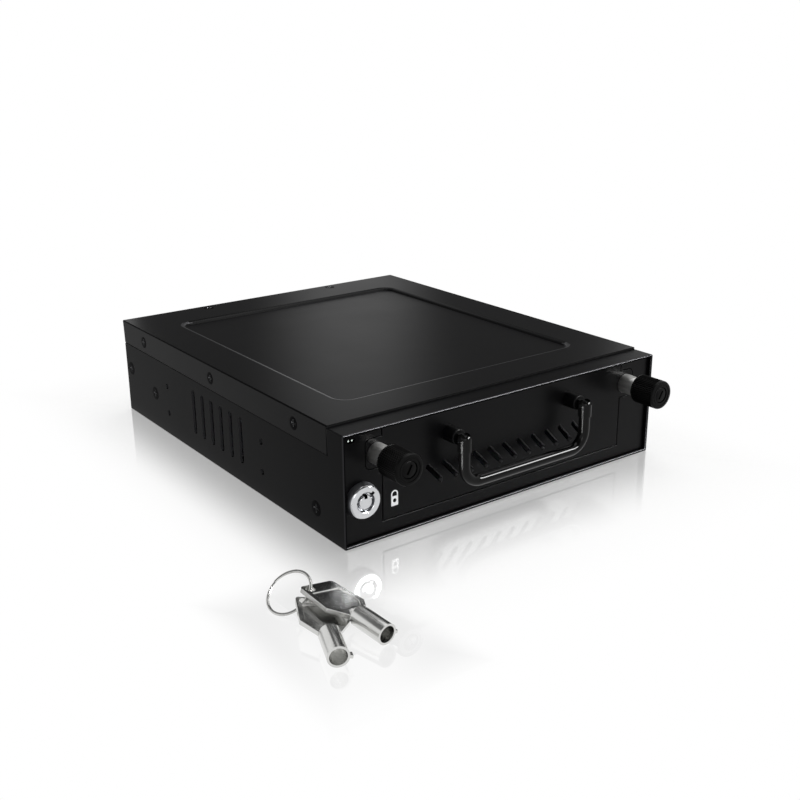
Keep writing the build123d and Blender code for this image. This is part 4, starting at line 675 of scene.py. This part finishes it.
class CAGE_OT_thumbscrews(bpy.types.Operator):
    """Knurled knobs with slotted screws, turned sleeves and coil springs"""
    bl_idname = "cage.thumbscrews"
    bl_label = "Thumbscrews"

    def execute(self, context):
        for side in SIDES:
            low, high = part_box("thumb_knob_" + side)
            axis = Vector(((low.x + high.x) / 2, 0, (low.z + high.z) / 2))
            self.knob(side, axis, low.y, high.y, (high.z - low.z) / 2)
            self.screw(side, axis)
            self.sleeve(side, axis)
            self.spring(side, axis)
        return {"FINISHED"}

    def knob(self, side, axis, face, end, radius):
        shapes = bpy.context.scene.cage_shapes
        count, depth = shapes.knurl_count, shapes.knurl_depth
        knurl_front, knurl_end = face + 0.9 * MM, end - 0.5 * MM

        def groove(angle, reach, y):
            if reach < radius - 0.05 * MM or not knurl_front < y < knurl_end:
                return 0
            return -depth * (0.5 - 0.5 * cos(count * angle)) ** 0.8

        # Bores for the screw's shank, its head and the sleeve, and how far the sleeve goes in, in mm.
        shank, seat, pocket, far = 1.98, 3.07, 4.05, 6.7
        outer, length = radius / MM, (end - face) / MM
        rim = [(seat, 0.05), (3.75, 0.05), (3.8, 0.16), (4.15, 0.16), (4.2, 0), (outer - 0.55, 0),
               (outer - 0.16, 0.16), (outer, 0.55)]
        steps = (0.88, 1.05, 1.3, length - 0.8, length - 0.6, length - 0.48)
        rows = rim + [(outer, y) for y in steps] + [
            (outer - 0.1, length - 0.2), (outer - 0.4, length), (pocket, length), (pocket, length - far),
            (shank, length - far), (shank, 1.2), (seat, 1.2)]
        knob = turned(in_mm(rows, face), count * 6, groove)
        piece(moved(knob, axis), "knurled_knob_" + side, "black_anodised_aluminium", "thumb_knob_" + side)

    def screw(self, side, axis):
        low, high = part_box("thumb_screw_" + side)
        length = (high.y - low.y) / MM
        crest, root, pitch, plain, thread = 1.95, 1.72, 0.7, 11.5, 11.6
        rows = [(0, 0), (2.6, 0), (2.95, 0.2), (2.98, 1.0), (crest, 1.0), (crest, plain)]
        # The thread is drawn as rings.
        y = thread
        while y < length - 1.0:
            rows += [(crest, y), (root, y + 0.3), (crest, y + 0.6)]
            y += pitch
        rows += [(1.9, length - 0.5), (1.45, length), (0, length)]
        slot = slot_tool((1.75, -1.75), (0.42, -0.42), low.y, 0.5, turn=-60)
        made = cut(turned(in_mm(rows, low.y), 48), slot)
        piece(moved(made, axis), "slotted_screw_" + side, "black_anodised_aluminium", "thumb_screw_" + side)

    def sleeve(self, side, axis):
        low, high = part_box("thumb_sleeve_" + side)
        back = (high.y - low.y) / MM
        bore, neck, pocket, barrel, shoulder, floor = 2.01, 3.0, 3.15, 3.75, 8.5, 7.0
        rows = in_mm([(bore, back), (neck, back), (neck, shoulder), (3.62, shoulder), (barrel, shoulder - 0.12),
                      (barrel, 0.15), (3.62, 0), (pocket, 0), (pocket, floor), (bore, floor)], low.y)
        piece(moved(turned(eased(rows, 0.06 * MM), 72), axis), "turned_sleeve_" + side, "turned_nickel_steel",
              "thumb_sleeve_" + side)

    def spring(self, side, axis):
        low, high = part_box("thumb_spring_" + side)
        wire, steps_per_turn = 0.25 * MM, 36
        radius = (high.z - low.z) / 2 - wire
        turns = bpy.context.scene.cage_shapes.spring_turns
        steps = steps_per_turn * turns
        path = []
        for i in range(steps + 1):
            t = i / steps
            # The end turns close up, as a ground spring's do.
            rise = t - 0.45 / turns * sin(2 * pi * t) / pi
            angle = 2 * pi * turns * t
            y = low.y + wire + (high.y - low.y - 2 * wire) * rise
            path.append(axis + Vector((radius * cos(angle), y, radius * sin(angle))))
        made = piece(tube(path, wire, 10, REARWARD), "coil_spring_" + side, "turned_nickel_steel",
                     "thumb_spring_" + side, body="cartridge")
        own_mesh(made)


class CAGE_OT_lock(bpy.types.Operator):
    """Chrome tubular lock with its keyway, nub slot and notched post"""
    bl_idname = "cage.lock"
    bl_label = "Lock"

    def execute(self, context):
        low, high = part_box("lock_body")
        axis = Vector(((low.x + high.x) / 2, 0, (low.z + high.z) / 2))
        end = (high.y - low.y) / MM
        keyway, bore, barrel, groove, collar = 3.45, 2.56, 5.0, 4.4, 6.3
        rows = in_mm([(keyway, 0.25), (3.75, 0), (5.5, 0), (5.95, 0.45), (collar, 2.75), (collar, 3.1),
                      (barrel, 3.1), (barrel, 5.1), (groove, 5.1), (groove, 6.2), (barrel, 6.2), (barrel, end),
                      (bore, end), (bore, 6.0), (keyway, 6.0)], low.y)
        slot = slot_tool((0, 4.35), (0.6, -0.6), low.y, 4.6, turn=-45)
        body = cut(turned(eased(rows, 0.14 * MM), 96), slot)
        made = piece(moved(body, axis), "chrome_lock_body", "bright_chrome_plate", "lock_body")
        made.data.materials.append(FINISHES["brushed_chrome_side"])
        for facet in made.data.polygons:
            facet.material_index = int(abs(facet.normal.y) < 0.5)
        low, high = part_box("lock_plug")
        end = (high.y - low.y) / MM
        post, flange, tang = 2.5, 3.39, 1.7
        rows = in_mm([(0, 0), (2.25, 0), (post, 0.25), (post, 4.4), (flange, 4.4), (flange, 5.8), (post, 5.8),
                      (post, end - 1.6), (tang, end - 1.6), (tang, end), (0, end)], low.y)
        notch = slot_tool((0.6, -0.6), (2.9, 1.3), low.y, 4.4)
        plug = joined([cut(turned(eased(rows, 0.08 * MM), 72), notch)] + self.pins(low.y))
        piece(moved(plug, axis), "chrome_lock_plug", "bright_chrome_plate", "lock_plug")
        return {"FINISHED"}

    def pins(self, face):
        """Seven sprung pins in the keyway, at their stops as they are without a key, and their seat."""
        count, first, spacing, ring, depth = 7, 90 + 25.7, 51.43, 2.96 * MM, 0.75 * MM
        made = []
        rows = in_mm([(0, 0.0), (0.22, 0.02), (0.36, 0.16), (0.36, 3.6), (0, 3.6)])
        for i in range(count):
            angle = radians(first + spacing * i)
            spot = Vector((ring * cos(angle), face + depth, ring * sin(angle)))
            made.append(moved(turned(rows, 16), spot))
        seat = in_mm([(2.62, 1.5), (3.3, 1.5), (3.3, 3.6), (2.62, 3.6)])
        made.append(moved(turned(seat, 48), Vector((0, face, 0))))
        return made


class CAGE_OT_keys(bpy.types.Operator):
    """Two keys with softened edges on a split ring of two turns"""
    bl_idname = "cage.keys"
    bl_label = "Keys"

    def execute(self, context):
        for node in ("key_lower", "key_upper"):
            soften(node, "nickel_" + node, "worn_nickel_plate", 0.14 * MM)
        corners = [v.co for v in NODES["key_ring"].data.vertices]
        middle = sum(corners, Vector()) / len(corners)
        far = max(corners, key=lambda c: (c - middle).length)
        across = (far - middle).normalized()
        normal = max(((c - middle).cross(across) for c in corners), key=lambda n: n.length).normalized()
        other = normal.cross(across)
        reach = (far - middle).length
        wire = reach - min((c - middle).length for c in corners)
        radius = reach - wire / 2
        # The wire's ends stay a little apart, and it climbs from one turn to the next halfway along.
        gap, climb, steps = 0.15, 14, 160
        path = []
        for i in range(steps + 1):
            t = i / steps
            angle = gap + (4 * pi - 2 * gap) * t
            lift = max(-1.0, min(1.0, (t - 0.5) * climb)) * wire / 4
            path.append(middle + (across * cos(angle) + other * sin(angle)) * radius + normal * lift)
        piece(tube(path, wire / 2, 10, normal, flat=0.48), "split_ring", "worn_nickel_plate", "key_ring")
        return {"FINISHED"}


class CAGE_OT_padlock_mark(bpy.types.Operator):
    """White padlock sign printed on the cartridge front beside the lock"""
    bl_idname = "cage.padlock_mark"
    bl_label = "Padlock mark"

    def execute(self, context):
        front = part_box("cartridge_front")[0].y
        middle, base, proud = -51.75 * MM, 10.1 * MM, 0.03 * MM
        half, top, shoulder, thick = 1.43, 5.75, 3.6, 0.5
        keyhole, keyhole_up = 0.72, 1.95
        body = bmesh.new()
        hole = [(keyhole * sin(a), keyhole_up + keyhole * cos(a)) for a in self.angles(2 * pi, 20)[:-1]]
        self.slab(body, self.rounded(half, shoulder, 0.12), hole)
        centre = top - half
        arch = [[(r * cos(a), centre + r * sin(a)) for a in self.angles(pi, 14)]
                for r in (half, half - thick)]
        foot = shoulder - 0.1
        self.slab(body, [(half, foot)] + arch[0] + [(-half, foot), (thick - half, foot)] + arch[1][::-1]
                  + [(half - thick, foot)])
        body.transform(Matrix.Translation((middle, front - proud, base)))
        piece(body, "padlock_print", "white_pad_print", body="cartridge", smooth=False)
        return {"FINISHED"}

    def angles(self, sweep, steps):
        return [sweep * i / steps for i in range(steps + 1)]

    def rounded(self, half, height, corner):
        """A rectangle that stands on z 0, with round corners."""
        points = []
        for cx, cz, start in ((half, height, 0), (-half, height, 90), (-half, 0, 180), (half, 0, 270)):
            sx = -1 if cx > 0 else 1
            sz = -1 if cz > 0 else 1
            for step in range(5):
                a = radians(start + 22.5 * step)
                points.append((cx + sx * corner + corner * cos(a), cz + sz * corner + corner * sin(a)))
        return points

    def slab(self, shape, outline, hole=()):
        """A film of ink from an outline in millimetres, with a hole if one is given."""
        film_depth = 0.025 * MM
        edges = []
        for loop in (outline, hole):
            ring = [shape.verts.new((x * MM, 0, z * MM)) for x, z in loop]
            edges += [shape.edges.new((ring[i - 1], ring[i])) for i in range(len(ring))]
        film = bmesh.ops.triangle_fill(shape, edges=edges, use_beauty=True, use_dissolve=False,
                                       normal=(0, -1, 0))
        faces = [g for g in film["geom"] if isinstance(g, bmesh.types.BMFace)]
        raised = bmesh.ops.extrude_face_region(shape, geom=faces)
        tops = [g for g in raised["geom"] if isinstance(g, bmesh.types.BMVert)]
        bmesh.ops.translate(shape, verts=tops, vec=(0, film_depth, 0))


class CAGE_OT_backplane(bpy.types.Operator):
    """Backplane board, sockets with gold contacts, and the fan's frame"""
    bl_idname = "cage.backplane"
    bl_label = "Backplane"

    def execute(self, context):
        edge = 0.1 * MM
        soften("backplane_board", "printed_board", "solder_mask_board", edge)
        for node in ("drive_socket", "data_socket", "fan_frame"):
            soften(node, "moulded_" + node, "moulded_black_plastic", edge)
        low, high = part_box("drive_socket")
        blade = (low.z + high.z) / 2 + 0.6 * MM
        pitch, inset = 1.27, 1.0
        contacts = []
        # Where each row of contacts begins, and how many it has.
        for first, count in ((2.9, 7), (15.1, 15)):
            for i in range(count):
                x = low.x + (first + inset + pitch * i) * MM
                contacts.append(self.contact(x, low.y + 1.5 * MM, high.y - 1.3 * MM, blade))
        piece(joined(contacts), "socket_contacts", "gold_flash", body="cage")
        return {"FINISHED"}

    def contact(self, x, y0, y1, z):
        """A flat strip with a turned-down tip, lying on the socket's blade."""
        half, thick, dip, tip = (d * MM for d in (0.32, 0.12, 0.25, 0.35))
        shape = bmesh.new()
        ladder = []
        for y, rise in ((y0, -dip), (y0 + tip, thick), (y1, thick)):
            ladder.append([shape.verts.new((x + dx, y, z + dz)) for dx, dz in
                           ((-half, rise - thick), (half, rise - thick), (half, rise), (-half, rise))])
        for ring, other in zip(ladder, ladder[1:]):
            bridge(shape, ring, other)
        shape.faces.new(ladder[0][::-1])
        shape.faces.new(ladder[-1])
        return shape


class CAGE_OT_stage(bpy.types.Operator):
    """White floor with a fading mirror, soft lights, a white surround and the camera"""
    bl_idname = "cage.stage"
    bl_label = "Stage"

    def execute(self, context):
        for step in (self.world, self.floor, self.lights, self.cards, self.camera):
            step(context.scene)
        context.scene.view_settings.view_transform = "Standard"
        return {"FINISHED"}

    def world(self, scene):
        """White to the camera, half as bright as fill light, and dark overhead to mirrors."""
        fill, dark = 0.5, 0.18
        # Sines of the heights where the dark part overhead begins and is full.
        begins, full = 0.5, 0.62
        world = bpy.data.worlds.new("studio")
        scene.world = world
        world.use_nodes = True
        tree = world.node_tree
        path = add(tree, "LightPath").outputs
        way = add(tree, "TexCoord").outputs["Generated"]
        height = add(tree, "VectorMath", {0: way, 1: UP}, operation="DOT_PRODUCT").outputs["Value"]
        dim = add(tree, "MapRange", {0: height, 1: begins, 2: full, 3: 1.0, 4: dark})
        mirrors = add(tree, "Math", {0: path["Is Glossy Ray"], 1: path["Is Transmission Ray"]},
                      operation="MAXIMUM")
        unseen = add(tree, "Mix", {0: mirrors, NUMBER_A: fill, NUMBER_B: dim})
        level = add(tree, "Mix", {0: path["Is Camera Ray"], NUMBER_A: unseen, NUMBER_B: 1.0})
        join(tree, tree.nodes["Background"], {"Color": WHITE, "Strength": level})

    def floor(self, scene):
        """White acrylic: a mirror that fades away from the case and the keys, and plain white far off."""
        stage = scene.cage_stage
        half_size, clear, plain_from, grey, edge, lead = 6.0, 5 * MM, 90 * MM, 0.56, 4 * MM, 30 * MM
        weights, key_fade, key_mirror = (2.0, 1.3, 0), 0.6, 0.4
        shape = bmesh.new()
        bmesh.ops.create_grid(shape, x_segments=1, y_segments=1, size=half_size)
        floor = in_scene("floor", as_mesh(shape, "floor"))
        made, tree = bare_material("white_acrylic_sheet")
        floor.data.materials.append(made)
        place = add(tree, "NewGeometry").outputs["Position"]
        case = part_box("case")[1]
        keys = [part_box(node) for node in ("key_lower", "key_upper")]
        low = Vector([min(k[0][i] for k in keys) for i in range(3)])
        high = Vector([max(k[1][i] for k in keys) for i in range(3)])
        # The mirror fades with the distance from the case, and a weaker one from the keys.
        mirrored = ((Vector(), case, stage.fade, stage.mirror),
                    ((low + high) / 2, (high - low) / 2, stage.fade * key_fade, stage.mirror * key_mirror))
        gaps, shares = [], []
        for middle, reach, fade, peak in mirrored:
            gap = place
            for operation, more in (("SUBTRACT", {1: middle}), ("ABSOLUTE", {}), ("SUBTRACT", {1: reach}),
                                    ("MULTIPLY", {1: weights})):
                gap = add(tree, "VectorMath", {0: gap, **more}, operation=operation)
            apart = add(tree, "SeparateXYZ", {0: gap}).outputs
            gaps.append(add(tree, "Math", {0: apart[0], 1: apart[1]}, operation="MAXIMUM"))
            shares.append(add(tree, "MapRange", {0: gaps[-1], 1: clear, 2: fade, 3: peak, 4: 0.0},
                              interpolation_type="SMOOTHSTEP"))
        share = add(tree, "Math", {0: shares[0], 1: shares[1]}, operation="MAXIMUM")
        plain = add(tree, "BsdfDiffuse", {"Color": linear("#f6f6f5")})
        mirror = add(tree, "BsdfGlossy", {"Color": WHITE, "Roughness": 0.02})
        path = add(tree, "LightPath").outputs
        seen = add(tree, "Math", {0: path["Is Camera Ray"], 1: path["Is Transmission Ray"]},
                   operation="MAXIMUM")
        far = add(tree, "MapRange", {0: gaps[0], 1: 0.0, 2: plain_from, 3: 0.5, 4: 1.0},
                  interpolation_type="SMOOTHSTEP")
        white = add(tree, "Math", {0: far, 1: seen}, operation="MULTIPLY")
        glow = add(tree, "Emission", {"Color": WHITE, "Strength": 1.0})
        pale = add(tree, "MixShader", {0: white, 1: plain, 2: glow})
        whole = add(tree, "MixShader", {0: share, 1: pale, 2: mirror})
        # Mirrors see the floor beside the case as if a grey card lay there, which keeps its side dark.
        spot = add(tree, "SeparateXYZ", {0: place}).outputs
        beside = add(tree, "MapRange", {0: spot[0], 1: -case.x - edge, 2: -case.x + edge, 3: grey, 4: 1.0})
        ahead = add(tree, "MapRange", {0: spot[1], 1: -case.y - lead, 2: -case.y, 3: 1.0, 4: grey})
        level = add(tree, "Math", {0: beside, 1: ahead}, operation="MAXIMUM")
        card = add(tree, "Emission", {"Color": WHITE, "Strength": level})
        both = add(tree, "MixShader", {0: path["Is Glossy Ray"], 1: whole, 2: card})
        join(tree, tree.nodes["Material Output"], {"Surface": both})

    def lights(self, scene):
        """Softboxes. The last entry of a row holds the only pieces it lights, if not all."""
        stage = scene.cage_stage
        target = Vector((0, 0, 0.02))
        # The handle's light stands for the floor's image of a softbox on the left, so it shines from below.
        handle = [NODES[node] for node in ("bail_rod", "bail_knuckle_left", "bail_knuckle_right")]
        rows = (("overhead_softbox", stage.overhead, (0.35, 0.1, 1.2), (1.2, 1.2), ()),
                ("front_softbox", stage.front, (-0.55, -1.0, 0.45), (0.5, 0.4), ()),
                ("handle_softbox", stage.side, (-0.49, -0.14, -0.14), (0.2, 0.12), handle))
        for name, power, place, size, lit in rows:
            data = bpy.data.lights.new(name, "AREA")
            data.shape = "RECTANGLE"
            data.size, data.size_y = size
            data.energy = power
            light = in_scene(name, data)
            aimed(light, place, target - Vector(place), "-Z")
            if lit:
                # Only these pieces take this light, and only they shade it.
                group = bpy.data.collections.new(name)
                for made in lit:
                    group.objects.link(made)
                light.light_linking.receiver_collection = group
                light.light_linking.blocker_collection = group

    def cards(self, scene):
        """Cards that only mirrors see: a bright strip for edges and rods, and a soft sheen for the lid."""
        stage = scene.cage_stage
        place, target = Vector((0.53, -0.73, 0.49)), Vector((0, -0.09, 0.02))
        strip, _ = self.card("strip_card", place, target - place, (0.62, 0.2), stage.strip)
        # The lid and the keys don't take the strip: it would glare along the recess and speckle the plate.
        spared = bpy.data.collections.new("strip_card")
        for name in ("painted_lid", "nickel_key_lower", "nickel_key_upper"):
            spared.objects.link(bpy.data.objects[name])
        for link in spared.collection_objects:
            link.light_linking.link_state = "EXCLUDE"
        strip.light_linking.receiver_collection = spared
        place, forward = Vector((0.155, 0.17, 0.16)), Vector((0, -1, 0))
        _, tree = self.card("sheen_card", place, forward, (0.38, 0.26), stage.sheen)
        # The sheen is brightest at one x and falls off to both sides.
        peak, even, wide, least = 0.105, 0.01, 0.075, 0.13
        spot = add(tree, "NewGeometry").outputs["Position"]
        across = add(tree, "SeparateXYZ", {0: spot})
        off = add(tree, "Math", {0: across, 1: peak}, operation="SUBTRACT")
        off = add(tree, "Math", {0: off}, operation="ABSOLUTE")
        soft = add(tree, "MapRange", {0: off, 1: even, 2: wide, 3: stage.sheen, 4: least},
                   interpolation_type="SMOOTHSTEP")
        join(tree, tree.nodes["Emission"], {"Strength": soft})

    def card(self, name, place, way, size, level):
        """A glowing card that faces a given way, and its material's nodes."""
        mesh = bpy.data.meshes.new(name)
        corners = [(sx * size[0] / 2, sy * size[1] / 2, 0) for sx, sy in ((-1, -1), (1, -1), (1, 1), (-1, 1))]
        mesh.from_pydata(corners, [], [(0, 1, 2, 3)])
        card = in_scene(name, mesh)
        aimed(card, place, way, "Z")
        for ray in ("camera", "diffuse", "transmission", "shadow", "volume_scatter"):
            setattr(card, "visible_" + ray, False)
        made, tree = bare_material(name)
        mesh.materials.append(made)
        glow = add(tree, "Emission", {"Strength": level})
        join(tree, tree.nodes["Material Output"], {"Surface": glow})
        return card, tree

    def camera(self, scene):
        """The camera's place and turn, fitted to the bay standard's width, height and hole spacing."""
        place = (-0.245471, -0.355713, 0.164337)
        azimuth, elevation, roll = (radians(a) for a in (-36.104, 19.339, -0.514))
        back = Vector((sin(azimuth) * cos(elevation), -cos(azimuth) * cos(elevation), sin(elevation)))
        level = Vector((cos(azimuth), sin(azimuth), 0))
        right = level * cos(roll) + back.cross(level) * sin(roll)
        data = bpy.data.cameras.new("photo_camera")
        data.sensor_fit = "HORIZONTAL"
        data.sensor_width = 36
        data.lens = 48.394
        turn = Matrix((right, back.cross(right), back)).transposed().to_4x4()
        scene.camera = in_scene("photo_camera", data)
        scene.camera.matrix_world = Matrix.Translation(place) @ turn


class CAGE_PT_looks(bpy.types.Panel):
    """Sidebar panel that lists the looks' settings and steps"""
    bl_idname = "CAGE_PT_looks"
    bl_label = "Drive Cage"
    bl_space_type = "VIEW_3D"
    bl_region_type = "UI"
    bl_category = "Drive Cage"

    def draw(self, context):
        for group in (context.scene.cage_finishes, context.scene.cage_shapes, context.scene.cage_stage):
            box = self.layout.box()
            for name in group.__annotations__:
                box.prop(group, name)
        for step in STEPS:
            self.layout.operator(step.bl_idname)


GROUPS = {"cage_finishes": CageFinishes, "cage_shapes": CageShapes, "cage_stage": CageStage}
STEPS = (CAGE_OT_finishes, CAGE_OT_sheet_metal, CAGE_OT_screws, CAGE_OT_thumbscrews, CAGE_OT_lock, CAGE_OT_keys,
         CAGE_OT_padlock_mark, CAGE_OT_backplane, CAGE_OT_stage)


def register():
    for kind in (*GROUPS.values(), *STEPS, CAGE_PT_looks):
        bpy.utils.register_class(kind)
    for name, kind in GROUPS.items():
        setattr(bpy.types.Scene, name, bpy.props.PointerProperty(type=kind))


def unregister():
    for name in GROUPS:
        delattr(bpy.types.Scene, name)
    for kind in (CAGE_PT_looks, *reversed(STEPS), *reversed(GROUPS.values())):
        bpy.utils.unregister_class(kind)


def main():
    register()
    for step in STEPS:
        group, name = step.bl_idname.split(".")
        getattr(getattr(bpy.ops, group), name)()


if __name__ == "__main__":
    main()
